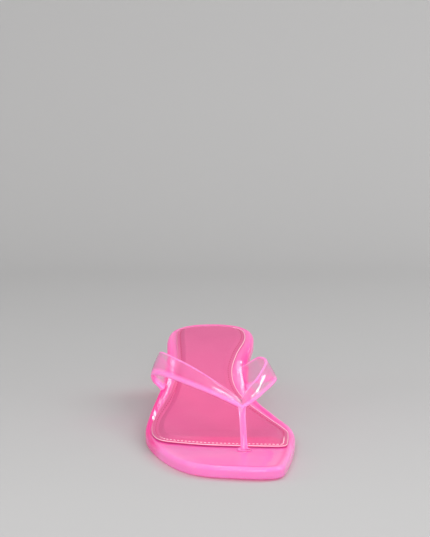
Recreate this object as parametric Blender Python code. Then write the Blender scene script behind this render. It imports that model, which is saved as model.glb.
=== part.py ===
# Jelly sandal, right shoe: a toe-post mule moulded in clear pink PVC, with a padded insole.
# The shoe stands on its forefoot and on a small heel; the V strap rises from a post between the toes.
# X runs from the outer side of the foot to the inner side, Y from the toe to the heel, Z up.

import math

import bmesh
import bpy
from mathutils import Vector

# Sole
LENGTH = 0.243
BALL_WIDTH = 0.0955
HEEL_WIDTH = 0.060
FOREFOOT_THICKNESS = 0.0072
SEAT_THICKNESS = 0.0085
SEAT_HEIGHT = 0.048
TOE_SPRING = 0.0012
TOP_EDGE_RADIUS = 0.0028
BOTTOM_EDGE_RADIUS = 0.0014

# Heel
HEEL_TOP_WIDTH = 0.046
HEEL_TOP_DEPTH = 0.043
HEEL_BACK_INSET = 0.0055
HEEL_TIP_WIDTH = 0.0135
HEEL_TIP_DEPTH = 0.0130
HEEL_TIP_THICKNESS = 0.0050
HEEL_TIP_INSET = 0.0090

# Upper
STRAP_WALL = 0.0021
STRAP_HEIGHT = 0.033
STRAP_ARCH = 0.0007
ROOT_INSET = 0.0016
POST_WIDTH = 0.0042
POST_DEPTH = 0.0036
POST_FOOT_RADIUS = 0.0048
POST_FOOT_HEIGHT = 0.0010

# Insole
INSOLE_BORDER = 0.0015
INSOLE_PUFF = 0.0017
INSOLE_BORDER_WIDTH = 0.0042
INSOLE_PUFF_WIDTH = 0.0110
INSOLE_EDGE_RADIUS = 0.0006

# Moulded pieces lie this far from each other
CLEARANCE = 0.0003

# Sole outline from the toe point to the waist: shares of BALL_WIDTH across, of LENGTH along.
# Columns: inner side across, inner side along, outer side across, outer side along.
FOREPART_ROWS = (
    (0.304, 0.000, 0.304, 0.000),
    (0.404, 0.008, 0.150, 0.010),
    (0.457, 0.031, 0.000, 0.024),
    (0.486, 0.082, -0.136, 0.060),
    (0.517, 0.156, -0.250, 0.126),
    (0.547, 0.255, -0.353, 0.224),
    (0.560, 0.346, -0.417, 0.321),
    (0.530, 0.407, -0.437, 0.400),
    (0.430, 0.468, -0.415, 0.473),
)

# The same columns from the waist to the back of the heel, with shares of HEEL_WIDTH across.
BACKPART_ROWS = (
    (0.510, 0.534, -0.593, 0.553),
    (0.417, 0.613, -0.523, 0.626),
    (0.403, 0.691, -0.497, 0.700),
    (0.453, 0.774, -0.503, 0.782),
    (0.495, 0.856, -0.505, 0.860),
    (0.467, 0.926, -0.460, 0.928),
    (0.338, 0.975, -0.333, 0.973),
    (0.158, 0.996, -0.183, 0.994),
    (-0.017, 1.000, -0.017, 1.000),
)

# Insole outline, in the columns of the sole outline. Its front edge lies behind the toe post.
INSOLE_FOREPART_ROWS = (
    (0.130, 0.215, 0.130, 0.215),
    (0.300, 0.210, -0.040, 0.224),
    (0.440, 0.207, -0.200, 0.243),
    (0.488, 0.216, -0.320, 0.266),
    (0.503, 0.250, -0.372, 0.306),
    (0.512, 0.320, -0.393, 0.360),
    (0.502, 0.362, -0.391, 0.405),
    (0.400, 0.431, -0.370, 0.450),
)
INSOLE_BACKPART_ROWS = (
    (0.410, 0.506, -0.490, 0.520),
    (0.272, 0.580, -0.418, 0.590),
    (0.235, 0.655, -0.378, 0.670),
    (0.290, 0.730, -0.380, 0.740),
    (0.385, 0.820, -0.398, 0.820),
    (0.385, 0.890, -0.397, 0.890),
    (0.325, 0.928, -0.345, 0.926),
    (0.180, 0.946, -0.205, 0.944),
    (-0.017, 0.951, -0.017, 0.951),
)

# Footbed from the tread to the back. Columns: share of LENGTH along, share of the rise to the seat.
BED_ROWS = (
    (0.000, 0.000),
    (0.160, 0.000),
    (0.330, 0.000),
    (0.410, 0.063),
    (0.495, 0.217),
    (0.577, 0.395),
    (0.660, 0.590),
    (0.740, 0.770),
    (0.823, 0.880),
    (0.910, 0.945),
    (1.000, 1.000),
)
SPRING_END = 0.160
SEAT_THICKNESS_START = 0.400
SEAT_THICKNESS_END = 0.600

# Strap sections from the top of the toe post outwards, for the front and the back edge of the band.
# Columns: front across, front along, front height, back across, back along, back height, as shares
# of BALL_WIDTH, of LENGTH and, above the footbed, of STRAP_HEIGHT.
JOIN_ROW = (0.207, 0.237, 0.715, 0.199, 0.270, 0.790)
OUTER_STRAP_ROWS = (
    JOIN_ROW,
    (0.115, 0.274, 0.790, 0.141, 0.309, 0.862),
    (-0.010, 0.333, 0.858, 0.047, 0.366, 0.930),
    (-0.136, 0.399, 0.828, -0.052, 0.424, 0.948),
    (-0.251, 0.465, 0.712, -0.152, 0.484, 0.880),
    (-0.340, 0.514, 0.588, -0.251, 0.553, 0.735),
    (-0.398, 0.551, 0.430, -0.335, 0.621, 0.550),
    (-0.404, 0.570, 0.273, -0.358, 0.654, 0.379),
    (-0.385, 0.580, 0.133, -0.350, 0.671, 0.200),
)
INNER_STRAP_ROWS = (
    JOIN_ROW,
    (0.267, 0.280, 0.755, 0.228, 0.313, 0.860),
    (0.314, 0.329, 0.767, 0.265, 0.366, 0.885),
    (0.361, 0.387, 0.739, 0.312, 0.422, 0.880),
    (0.406, 0.442, 0.667, 0.347, 0.475, 0.815),
    (0.443, 0.498, 0.550, 0.374, 0.535, 0.705),
    (0.426, 0.535, 0.394, 0.375, 0.588, 0.575),
    (0.376, 0.560, 0.242, 0.345, 0.626, 0.433),
    (0.328, 0.574, 0.115, 0.305, 0.652, 0.263),
)
ROOT_FRONT = 0.584
ROOT_BACK = 0.679

# Toe post. Columns: share of the way up, share of the lean, width, depth.
POST_ROWS = (
    (0.00, 0.00, 1.30, 1.35),
    (0.08, 0.05, 1.06, 1.10),
    (0.30, 0.25, 0.98, 1.00),
    (0.65, 0.62, 0.98, 1.00),
    (0.90, 0.92, 1.10, 1.05),
    (1.00, 1.00, 1.30, 1.10),
)
POST_ACROSS = 0.217
POST_ALONG = 0.187
POST_TOP_ALONG = 0.2475

# Heel. Columns: share of the way up, share of the spread from the tip to the top of the heel at its
# sides, at its front and at its back.
HEEL_ROWS = (
    (0.00, 0.00, 0.00, 0.00),
    (0.20, 0.06, 0.04, 0.16),
    (0.45, 0.20, 0.14, 0.42),
    (0.68, 0.40, 0.34, 0.68),
    (0.86, 0.68, 0.64, 0.88),
    (1.00, 1.00, 1.00, 1.00),
)

# The band's edges reach this share of half the wall beyond their outermost flat, and narrow to the
# second share of it there.
NOSE_REACH = 0.75
NOSE_HALF = 0.5

# Round foot of the toe post. Columns: share of its radius, share of its height.
POST_FOOT_ROWS = (
    (1.00, 0.00),
    (1.00, 0.35),
    (0.94, 0.75),
    (0.80, 1.00),
)

# Roundness of the heel's sections: 2 is an ellipse, more is squarer
HEEL_SQUARENESS = 2.6

# Steps of the meshes
OUTLINE_STEPS = 3
FILL_COLUMNS = 6
EDGE_STEPS = 3
STRAP_STEPS = 3
BAND_COLUMNS = 4
ROUND_STEPS = 24


def clear_scene():
    for item in list(bpy.data.objects):
        bpy.data.objects.remove(item, do_unlink=True)


def catmull_rom(before, start, end, after, share):
    square = share * share
    cube = square * share
    return 0.5 * (
        2.0 * start
        + (end - before) * share
        + (2.0 * before - 5.0 * start + 4.0 * end - after) * square
        + (3.0 * start - before - 3.0 * end + after) * cube
    )


def curve_through(points, steps):
    """Smooth curve through all points, with its ends carried straight on."""
    first = 2.0 * points[0] - points[1]
    last = 2.0 * points[-1] - points[-2]
    padded = [first, *points, last]
    curve = []
    for index in range(len(points) - 1):
        before, start, end, after = padded[index:index + 4]
        for step in range(steps):
            curve.append(catmull_rom(before, start, end, after, step / steps))
    curve.append(points[-1].copy())
    return curve


def rows_value(rows, position):
    """Value of a two-column table at a position, without overshoot between rows."""
    if position <= rows[0][0]:
        return rows[0][1]
    if position >= rows[-1][0]:
        return rows[-1][1]
    slopes = [(b[1] - a[1]) / (b[0] - a[0]) for a, b in zip(rows, rows[1:])]
    tangents = [slopes[0]]
    for left, right in zip(slopes, slopes[1:]):
        product = left * right
        tangents.append(2.0 * product / (left + right) if product > 0.0 else 0.0)
    tangents.append(slopes[-1])
    for index, (start, end) in enumerate(zip(rows, rows[1:])):
        if position <= end[0]:
            width = end[0] - start[0]
            share = (position - start[0]) / width
            square = share * share
            cube = square * share
            return (
                (2.0 * cube - 3.0 * square + 1.0) * start[1]
                + (cube - 2.0 * square + share) * width * tangents[index]
                + (3.0 * square - 2.0 * cube) * end[1]
                + (cube - square) * width * tangents[index + 1]
            )
    return rows[-1][1]


def bed_height(along):
    """Top of the sole at a distance behind the toe point."""
    share = along / LENGTH
    rise = rows_value(BED_ROWS, share) * (SEAT_HEIGHT - FOREFOOT_THICKNESS)
    spring = TOE_SPRING * max(0.0, 1.0 - share / SPRING_END) ** 2
    return FOREFOOT_THICKNESS + rise + spring


def under_height(along):
    """Underside of the sole, flat on the floor under the ball of the foot."""
    share = (along / LENGTH - SEAT_THICKNESS_START) / (SEAT_THICKNESS_END - SEAT_THICKNESS_START)
    share = min(1.0, max(0.0, share))
    blend = share * share * (3.0 - 2.0 * share)
    thickness = FOREFOOT_THICKNESS + (SEAT_THICKNESS - FOREFOOT_THICKNESS) * blend
    return max(0.0, bed_height(along) - thickness)


def rim_height(inset, along):
    """Top of the sole within its rounded edge, at an inset from the outline."""
    reach = min(TOP_EDGE_RADIUS, max(0.0, TOP_EDGE_RADIUS - inset))
    drop = TOP_EDGE_RADIUS - math.sqrt(TOP_EDGE_RADIUS ** 2 - reach ** 2)
    return bed_height(along) - drop


def outline_sides(forepart, backpart):
    """Inner and outer side of an outline, point for point, from its front to its back."""
    sides = ([], [])
    for rows, width in ((forepart, BALL_WIDTH), (backpart, HEEL_WIDTH)):
        for inner_across, inner_along, outer_across, outer_along in rows:
            sides[0].append(Vector((inner_across * width, inner_along * LENGTH)))
            sides[1].append(Vector((outer_across * width, outer_along * LENGTH)))
    # The outline runs on round its front and back, so each side borrows a point from the other.
    curves = []
    for own, other in ((sides[0], sides[1]), (sides[1], sides[0])):
        padded = [other[1], *own, other[-2]]
        curve = []
        for index in range(len(own) - 1):
            for step in range(OUTLINE_STEPS):
                curve.append(catmull_rom(*padded[index:index + 4], step / OUTLINE_STEPS))
        curve.append(own[-1].copy())
        curves.append(curve)
    return curves


def closed_outline(forepart, backpart):
    """The outline as one loop with its inward directions, inner side first."""
    inner, outer = outline_sides(forepart, backpart)
    loop = inner + outer[-2:0:-1]
    inward = []
    for index, point in enumerate(loop):
        tangent = loop[(index + 1) % len(loop)] - loop[index - 1]
        inward.append(Vector((-tangent.y, tangent.x)).normalized())
    return loop, inward


def side_at(sign, along):
    """Point and outward direction on the sole outline at a distance behind the toe point."""
    curve = outline_sides(FOREPART_ROWS, BACKPART_ROWS)[0 if sign > 0.0 else 1]
    for start, end in zip(curve, curve[1:]):
        if start.y <= along <= end.y and end.y > start.y:
            share = (along - start.y) / (end.y - start.y)
            tangent = (end - start).normalized()
            outward = Vector((tangent.y, -tangent.x)) * sign
            return start.lerp(end, share), outward
    return curve[-1], Vector((0.0, 1.0))


def plate_mesh(outline, levels, bottom, top):
    """Closed plate: rings of (inset, height function) up its edge, filled below and above.

    bottom and top give the height of the fills at a point.
    """
    loop, inward = outline
    count = len(loop)
    half = count // 2
    mesh = bmesh.new()
    rings = []
    for inset, height in levels:
        ring = []
        for point, direction in zip(loop, inward):
            place = point + direction * inset
            ring.append(mesh.verts.new((place.x, place.y, height(place.y))))
        rings.append(ring)
    for lower, upper in zip(rings, rings[1:]):
        for index in range(count):
            after = (index + 1) % count
            mesh.faces.new((lower[index], lower[after], upper[after], upper[index]))
    for ring, height in ((rings[0], bottom), (rings[-1], top)):
        ribs = []
        for index in range(1, half):
            start = ring[index]
            end = ring[count - index]
            rib = [start]
            for column in range(1, FILL_COLUMNS):
                share = column / FILL_COLUMNS
                place = start.co.lerp(end.co, share)
                rib.append(mesh.verts.new((place.x, place.y, height(place))))
            rib.append(end)
            ribs.append(rib)
        for first, second in zip(ribs, ribs[1:]):
            for column in range(FILL_COLUMNS):
                mesh.faces.new((first[column], second[column], second[column + 1], first[column + 1]))
        for tip, rib in ((ring[0], ribs[0]), (ring[half], ribs[-1])):
            for column in range(FILL_COLUMNS):
                mesh.faces.new((tip, rib[column], rib[column + 1]))
    bmesh.ops.recalc_face_normals(mesh, faces=mesh.faces)
    return mesh


def loft_mesh(sections):
    """Closed body through sections of as many points each, capped at both ends."""
    mesh = bmesh.new()
    rings = [[mesh.verts.new(point) for point in section] for section in sections]
    for lower, upper in zip(rings, rings[1:]):
        for index in range(len(lower)):
            after = (index + 1) % len(lower)
            mesh.faces.new((lower[index], lower[after], upper[after], upper[index]))
    mesh.faces.new(rings[0])
    mesh.faces.new(rings[-1])
    bmesh.ops.recalc_face_normals(mesh, faces=mesh.faces)
    return mesh


def sole_plate():
    levels = []
    for step in range(EDGE_STEPS):
        angle = math.radians(90.0 * step / EDGE_STEPS)
        inset = BOTTOM_EDGE_RADIUS * (1.0 - math.sin(angle))
        lift = BOTTOM_EDGE_RADIUS * (1.0 - math.cos(angle))
        levels.append((inset, lambda along, lift=lift: under_height(along) + lift))
    levels.append((0.0, lambda along: under_height(along) + BOTTOM_EDGE_RADIUS))
    for step in range(EDGE_STEPS + 1):
        angle = math.radians(90.0 * step / EDGE_STEPS)
        inset = TOP_EDGE_RADIUS * (1.0 - math.cos(angle))
        drop = TOP_EDGE_RADIUS * (1.0 - math.sin(angle))
        levels.append((inset, lambda along, drop=drop: bed_height(along) - drop))
    outline = closed_outline(FOREPART_ROWS, BACKPART_ROWS)
    return plate_mesh(
        outline,
        levels,
        lambda place: under_height(place.y),
        lambda place: bed_height(place.y),
    )


def insole_pad():
    """Pad with a flat stitched border and a puffed middle, lying on the footbed."""
    outline = closed_outline(INSOLE_FOREPART_ROWS, INSOLE_BACKPART_ROWS)

    def base(along):
        return bed_height(along) + CLEARANCE

    def puffed(place):
        reach = min((place.xy - point).length for point in outline[0])
        share = min(1.0, max(0.0, (reach - INSOLE_BORDER_WIDTH) / INSOLE_PUFF_WIDTH))
        return base(place.y) + INSOLE_BORDER + INSOLE_PUFF * math.sin(share * math.pi / 2.0)

    border_top = INSOLE_BORDER - INSOLE_EDGE_RADIUS
    levels = (
        (INSOLE_EDGE_RADIUS, base),
        (0.0, lambda along: base(along) + INSOLE_EDGE_RADIUS),
        (0.0, lambda along: base(along) + border_top),
        (INSOLE_EDGE_RADIUS, lambda along: base(along) + INSOLE_BORDER),
        (INSOLE_BORDER_WIDTH, lambda along: base(along) + INSOLE_BORDER),
    )
    return plate_mesh(outline, levels, lambda place: base(place.y), puffed)


def heel_frame():
    """Middle line and the front and back of the heel at its tip and at its top."""
    middle = HEEL_WIDTH * BACKPART_ROWS[-1][0]
    top_back = LENGTH - HEEL_BACK_INSET
    top_front = top_back - HEEL_TOP_DEPTH
    tip_back = LENGTH - HEEL_TIP_INSET
    tip_front = tip_back - HEEL_TIP_DEPTH
    return middle, top_front, top_back, tip_front, tip_back


def rounded_section(middle, half_width, front, back, height):
    """Rounded rectangle between two places along the shoe."""
    centre = (front + back) / 2.0
    half_depth = (back - front) / 2.0
    points = []
    for step in range(ROUND_STEPS):
        angle = math.tau * step / ROUND_STEPS
        cosine = math.cos(angle)
        sine = math.sin(angle)
        across = middle + half_width * math.copysign(abs(cosine) ** (2.0 / HEEL_SQUARENESS), cosine)
        along = centre + half_depth * math.copysign(abs(sine) ** (2.0 / HEEL_SQUARENESS), sine)
        points.append(Vector((across, along, height(along))))
    return points


def heel_body():
    """Heel from the top of its tip piece into the seat."""
    middle, top_front, top_back, tip_front, tip_back = heel_frame()
    foot = HEEL_TIP_THICKNESS + CLEARANCE
    sections = []
    for up, sides, front_spread, back_spread in HEEL_ROWS:
        half_width = (HEEL_TIP_WIDTH + (HEEL_TOP_WIDTH - HEEL_TIP_WIDTH) * sides) / 2.0
        front = tip_front + (top_front - tip_front) * front_spread
        back = tip_back + (top_back - tip_back) * back_spread

        def height(along, up=up):
            seat = under_height(along) + SEAT_THICKNESS * 0.5
            return foot + (seat - foot) * up

        sections.append(rounded_section(middle, half_width, front, back, height))
    return loft_mesh(sections)


def heel_tip_body():
    middle, top_front, top_back, tip_front, tip_back = heel_frame()
    half_width = HEEL_TIP_WIDTH / 2.0
    sections = [
        rounded_section(middle, half_width, tip_front, tip_back, lambda along: 0.0),
        rounded_section(middle, half_width, tip_front, tip_back, lambda along: HEEL_TIP_THICKNESS),
    ]
    return loft_mesh(sections)


def strap_edges(rows, sign):
    """Front and back edge of one leg of the strap, from the toe post down to its root."""
    fronts = []
    backs = []
    for row in rows:
        for edge, (across, along, height) in ((fronts, row[:3]), (backs, row[3:])):
            distance = along * LENGTH
            place = Vector((across * BALL_WIDTH, distance, 0.0))
            place.z = bed_height(distance) + height * STRAP_HEIGHT
            edge.append(place)
    for edge, share in ((fronts, ROOT_FRONT), (backs, ROOT_BACK)):
        along = share * LENGTH
        point, outward = side_at(sign, along)
        place = point - outward * ROOT_INSET
        edge.append(Vector((place.x, place.y, bed_height(along))))
    return curve_through(fronts, STRAP_STEPS), curve_through(backs, STRAP_STEPS)


def band_section(front, back, direction):
    """Section of the band, from its front to its back edge, arched away from the foot."""
    chord = back - front
    normal = direction.cross(chord).normalized()
    half = STRAP_WALL / 2.0
    nose = front - chord.normalized() * half * NOSE_REACH
    tail = back + chord.normalized() * half * NOSE_REACH
    outside = []
    inside = []
    for column in range(BAND_COLUMNS + 1):
        share = column / BAND_COLUMNS
        place = front.lerp(back, share) + normal * (4.0 * STRAP_ARCH * share * (1.0 - share))
        outside.append(place + normal * half)
        inside.append(place - normal * half)
    outside.append(tail + normal * half * NOSE_HALF)
    inside.append(tail - normal * half * NOSE_HALF)
    outside.insert(0, nose + normal * half * NOSE_HALF)
    inside.insert(0, nose - normal * half * NOSE_HALF)
    return outside + inside[::-1]


def root_section(sign):
    """End of the band, seated on the rounded top edge of the sole."""
    half = STRAP_WALL / 2.0
    margin = half * NOSE_REACH / LENGTH
    shares = [ROOT_FRONT - margin]
    for column in range(BAND_COLUMNS + 1):
        shares.append(ROOT_FRONT + (ROOT_BACK - ROOT_FRONT) * column / BAND_COLUMNS)
    shares.append(ROOT_BACK + margin)
    halves = [half * NOSE_HALF] + [half] * (BAND_COLUMNS + 1) + [half * NOSE_HALF]
    faces = []
    for side in (-1.0, 1.0):
        face = []
        for share, reach in zip(shares, halves):
            point, outward = side_at(sign, share * LENGTH)
            inset = ROOT_INSET + side * reach
            place = point - outward * inset
            face.append(Vector((place.x, place.y, rim_height(inset, place.y) + CLEARANCE)))
        faces.append(face)
    return faces[0] + faces[1][::-1]


def strap_body():
    """The V strap as one band, from the outer root over the toe post to the inner root."""
    outer_front, outer_back = strap_edges(OUTER_STRAP_ROWS, -1.0)
    inner_front, inner_back = strap_edges(INNER_STRAP_ROWS, 1.0)
    fronts = outer_front[:0:-1] + inner_front
    backs = outer_back[:0:-1] + inner_back
    centres = [(front + back) / 2.0 for front, back in zip(fronts, backs)]
    sections = []
    for index, (front, back) in enumerate(zip(fronts, backs)):
        before = centres[max(index - 1, 0)]
        after = centres[min(index + 1, len(centres) - 1)]
        sections.append(band_section(front, back, after - before))
    sections[0] = root_section(-1.0)
    sections[-1] = root_section(1.0)
    return loft_mesh(sections)


def post_body():
    """Toe post from its foot on the sole up into the strap."""
    start = POST_ALONG * LENGTH
    end = POST_TOP_ALONG * LENGTH
    across = POST_ACROSS * BALL_WIDTH
    top_across = (JOIN_ROW[0] + JOIN_ROW[3]) / 2.0 * BALL_WIDTH
    low = bed_height(start) + CLEARANCE
    share = (end - JOIN_ROW[1] * LENGTH) / ((JOIN_ROW[4] - JOIN_ROW[1]) * LENGTH)
    lift = JOIN_ROW[2] + (JOIN_ROW[5] - JOIN_ROW[2]) * share
    high = bed_height(end) + lift * STRAP_HEIGHT
    sections = []
    for up, lean, width, depth in POST_ROWS:
        centre = Vector((across + (top_across - across) * up, start + (end - start) * lean, low + (high - low) * up))
        section = []
        for step in range(ROUND_STEPS // 2):
            angle = math.tau * step / (ROUND_STEPS // 2)
            reach = Vector((POST_WIDTH * width * math.cos(angle), POST_DEPTH * depth * math.sin(angle), 0.0))
            section.append(centre + reach / 2.0)
        sections.append(section)
    return loft_mesh(sections)


def post_foot():
    """Low round foot of the toe post on the sole."""
    along = POST_ALONG * LENGTH
    across = POST_ACROSS * BALL_WIDTH
    sections = []
    for reach, lift in POST_FOOT_ROWS:
        section = []
        for step in range(ROUND_STEPS):
            angle = math.tau * step / ROUND_STEPS
            x = across + POST_FOOT_RADIUS * reach * math.cos(angle)
            y = along + POST_FOOT_RADIUS * reach * math.sin(angle)
            section.append(Vector((x, y, bed_height(y) + CLEARANCE + POST_FOOT_HEIGHT * lift)))
        sections.append(section)
    return loft_mesh(sections)


def material(name, colour, roughness):
    result = bpy.data.materials.new(name)
    result.use_nodes = True
    shader = result.node_tree.nodes["Principled BSDF"]
    shader.inputs["Base Color"].default_value = (*colour, 1.0)
    shader.inputs["Roughness"].default_value = roughness
    shader.inputs["Metallic"].default_value = 0.0
    result.diffuse_color = (*colour, 1.0)
    return result


def add_object(name, mesh, collection, root, surface):
    data = bpy.data.meshes.new(name)
    mesh.to_mesh(data)
    mesh.free()
    item = bpy.data.objects.new(name, data)
    collection.objects.link(item)
    item.parent = root
    if surface is not None:
        data.materials.append(surface)
        data.shade_smooth()
        data.set_sharp_from_angle(angle=math.radians(40.0))
    return item


def join_into(item, tool):
    tool.hide_render = True
    tool.display_type = "WIRE"
    modifier = item.modifiers.new("join_" + tool.name, "BOOLEAN")
    modifier.operation = "UNION"
    modifier.object = tool


def main():
    clear_scene()
    sandal = bpy.data.collections.new("jelly_sandal")
    shaping = bpy.data.collections.new("shaping_bodies")
    bpy.context.scene.collection.children.link(sandal)
    bpy.context.scene.collection.children.link(shaping)
    root = bpy.data.objects.new("sandal_root", None)
    sandal.objects.link(root)

    jelly = material("clear_pink_jelly", (0.86, 0.10, 0.42), 0.12)
    lining = material("pink_padded_lining", (0.84, 0.15, 0.38), 0.35)
    rubber = material("pink_heel_rubber", (0.70, 0.08, 0.33), 0.45)

    sole = add_object("sole", sole_plate(), sandal, root, jelly)
    heel = add_object("heel_form", heel_body(), shaping, root, None)
    join_into(sole, heel)
    add_object("heel_tip", heel_tip_body(), sandal, root, rubber)
    add_object("insole", insole_pad(), sandal, root, lining)
    upper = add_object("upper", strap_body(), sandal, root, jelly)
    post = add_object("post_form", post_body(), shaping, root, None)
    foot = add_object("post_foot_form", post_foot(), shaping, root, None)
    join_into(upper, post)
    join_into(upper, foot)

    # The origin lies under the middle of the whole shoe, on the floor.
    corners = [vertex.co for item in (sole, upper) for vertex in item.data.vertices]
    across = [corner.x for corner in corners]
    along = [corner.y for corner in corners]
    root.location = (-(min(across) + max(across)) / 2.0, -(min(along) + max(along)) / 2.0, 0.0)


main()
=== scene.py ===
"""Jelly sandal, right shoe: the finish of a toe-post mule in clear pink PVC with a padded insole.

The shapes repeat the shoe's own sizes and section tables with finer steps. Lengths are in metres.
Positions on the shoe are given across, from the middle line of the heel towards the inner side,
and along, from the toe point to the back of the heel.
"""

import math

import bmesh
import bpy
from bpy.props import FloatProperty, FloatVectorProperty, PointerProperty
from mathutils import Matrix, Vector, kdtree


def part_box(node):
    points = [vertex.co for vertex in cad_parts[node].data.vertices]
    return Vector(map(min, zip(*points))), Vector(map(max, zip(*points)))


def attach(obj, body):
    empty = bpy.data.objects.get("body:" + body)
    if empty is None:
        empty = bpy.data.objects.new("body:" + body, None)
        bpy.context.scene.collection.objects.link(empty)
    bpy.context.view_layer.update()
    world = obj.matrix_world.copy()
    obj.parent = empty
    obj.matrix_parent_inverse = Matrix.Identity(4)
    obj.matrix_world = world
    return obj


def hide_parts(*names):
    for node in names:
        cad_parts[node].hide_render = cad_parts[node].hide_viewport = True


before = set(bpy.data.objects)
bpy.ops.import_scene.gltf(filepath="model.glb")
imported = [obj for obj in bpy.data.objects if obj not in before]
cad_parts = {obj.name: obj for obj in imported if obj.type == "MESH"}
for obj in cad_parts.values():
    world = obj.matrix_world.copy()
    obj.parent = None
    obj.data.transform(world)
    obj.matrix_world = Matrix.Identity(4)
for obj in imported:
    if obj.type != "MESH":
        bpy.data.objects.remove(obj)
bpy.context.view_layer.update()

bl_info = {
    "name": "Jelly Sandal",
    "version": (1, 0, 0),
    "blender": (4, 5, 0),
    "location": "View3D > Sidebar > Sandal",
    "description": "Builds a clear pink toe-post sandal with a stitched, padded insole",
    "category": "Add Mesh",
}

BODY = "root"

# Layers painted on the meshes, which the surfaces read
# Painted glow: emission and brighter milk where the PVC is painted as if light gathered in it
GLOW = "gathered_light"
# Deep pink of thick PVC, with painted shade, on the sole's rim
DEPTH_AND_SHADE = "deep_pink"
# Painted light on the front of the pad
PAINTED_FRONT_LIGHT = "warm_front"

# Sole
LENGTH = 0.243
BALL_WIDTH = 0.0955
HEEL_WIDTH = 0.060
FOREFOOT_THICKNESS = 0.0072
SEAT_THICKNESS = 0.0085
SEAT_HEIGHT = 0.048
TOE_SPRING = 0.0012
BOTTOM_EDGE_RADIUS = 0.0014

# Heel
HEEL_TOP_WIDTH = 0.046
HEEL_TOP_DEPTH = 0.043
HEEL_BACK_INSET = 0.0055
HEEL_TIP_WIDTH = 0.0135
HEEL_TIP_DEPTH = 0.0130
HEEL_TIP_THICKNESS = 0.0050
HEEL_TIP_INSET = 0.0090
HEEL_SQUARENESS = 2.6

# Upper
STRAP_HEIGHT = 0.033
STRAP_ARCH = 0.0007
ROOT_INSET = 0.0016
POST_WIDTH = 0.0042
POST_DEPTH = 0.0036
POST_FOOT_RADIUS = 0.0048
POST_FOOT_HEIGHT = 0.0010
POST_ACROSS = 0.217
POST_ALONG = 0.187
POST_TOP_ALONG = 0.2475

# Insole
INSOLE_BORDER = 0.0015
INSOLE_EDGE_RADIUS = 0.0006

# Gap between two pieces that are glued or seated on each other
CLEARANCE = 0.0003

# Sole outline: inner side across and along, outer side across and along, as shares of the ball
# width (of the heel width behind the waist) and of the length.
FOREPART_ROWS = (
    (0.304, 0.000, 0.304, 0.000),
    (0.404, 0.008, 0.150, 0.010),
    (0.457, 0.031, 0.000, 0.024),
    (0.486, 0.082, -0.136, 0.060),
    (0.517, 0.156, -0.250, 0.126),
    (0.547, 0.255, -0.353, 0.224),
    (0.560, 0.346, -0.417, 0.321),
    (0.530, 0.407, -0.437, 0.400),
    (0.430, 0.468, -0.415, 0.473),
)
BACKPART_ROWS = (
    (0.510, 0.534, -0.593, 0.553),
    (0.417, 0.613, -0.523, 0.626),
    (0.403, 0.691, -0.497, 0.700),
    (0.453, 0.774, -0.503, 0.782),
    (0.495, 0.856, -0.505, 0.860),
    (0.467, 0.926, -0.460, 0.928),
    (0.338, 0.975, -0.333, 0.973),
    (0.158, 0.996, -0.183, 0.994),
    (-0.017, 1.000, -0.017, 1.000),
)

# Insole outline in the same columns
INSOLE_FOREPART_ROWS = (
    (0.130, 0.215, 0.130, 0.215),
    (0.300, 0.210, -0.040, 0.224),
    (0.440, 0.207, -0.200, 0.243),
    (0.488, 0.216, -0.320, 0.266),
    (0.503, 0.250, -0.372, 0.306),
    (0.512, 0.320, -0.393, 0.360),
    (0.502, 0.362, -0.391, 0.405),
    (0.400, 0.431, -0.370, 0.450),
)
INSOLE_BACKPART_ROWS = (
    (0.410, 0.506, -0.490, 0.520),
    (0.272, 0.580, -0.418, 0.590),
    (0.235, 0.655, -0.378, 0.670),
    (0.290, 0.730, -0.380, 0.740),
    (0.385, 0.820, -0.398, 0.820),
    (0.385, 0.890, -0.397, 0.890),
    (0.325, 0.928, -0.345, 0.926),
    (0.180, 0.946, -0.205, 0.944),
    (-0.017, 0.951, -0.017, 0.951),
)

# Footbed: share of the length, share of the rise to the seat
BED_ROWS = (
    (0.000, 0.000),
    (0.160, 0.000),
    (0.330, 0.000),
    (0.410, 0.063),
    (0.495, 0.217),
    (0.577, 0.395),
    (0.660, 0.590),
    (0.740, 0.770),
    (0.823, 0.880),
    (0.910, 0.945),
    (1.000, 1.000),
)
SPRING_END_SHARE = 0.160
SEAT_START_SHARE = 0.400
SEAT_END_SHARE = 0.600

# Strap sections from the toe post outwards: front edge across, along and height, then the back edge
JOIN_ROW = (0.207, 0.237, 0.715, 0.199, 0.270, 0.790)
OUTER_STRAP_ROWS = (
    JOIN_ROW,
    (0.115, 0.274, 0.790, 0.141, 0.309, 0.862),
    (-0.010, 0.333, 0.858, 0.047, 0.366, 0.930),
    (-0.136, 0.399, 0.828, -0.052, 0.424, 0.948),
    (-0.251, 0.465, 0.712, -0.152, 0.484, 0.880),
    (-0.340, 0.514, 0.588, -0.251, 0.553, 0.735),
    (-0.398, 0.551, 0.430, -0.335, 0.621, 0.550),
    (-0.404, 0.570, 0.273, -0.358, 0.654, 0.379),
    (-0.385, 0.580, 0.133, -0.350, 0.671, 0.200),
)
INNER_STRAP_ROWS = (
    JOIN_ROW,
    (0.267, 0.280, 0.755, 0.228, 0.313, 0.860),
    (0.314, 0.329, 0.767, 0.265, 0.366, 0.885),
    (0.361, 0.387, 0.739, 0.312, 0.422, 0.880),
    (0.406, 0.442, 0.667, 0.347, 0.475, 0.815),
    (0.443, 0.498, 0.550, 0.374, 0.535, 0.705),
    (0.426, 0.535, 0.394, 0.375, 0.588, 0.575),
    (0.376, 0.560, 0.242, 0.345, 0.626, 0.433),
    (0.328, 0.574, 0.115, 0.305, 0.652, 0.263),
)
ROOT_FRONT_SHARE = 0.584
ROOT_BACK_SHARE = 0.679

# Toe post: share of the way up, share of the lean, width, depth
POST_ROWS = (
    (0.00, 0.00, 1.30, 1.35),
    (0.08, 0.05, 1.06, 1.10),
    (0.30, 0.25, 0.98, 1.00),
    (0.65, 0.62, 0.98, 1.00),
    (0.90, 0.92, 1.10, 1.05),
    (1.00, 1.00, 1.30, 1.10),
)
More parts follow.
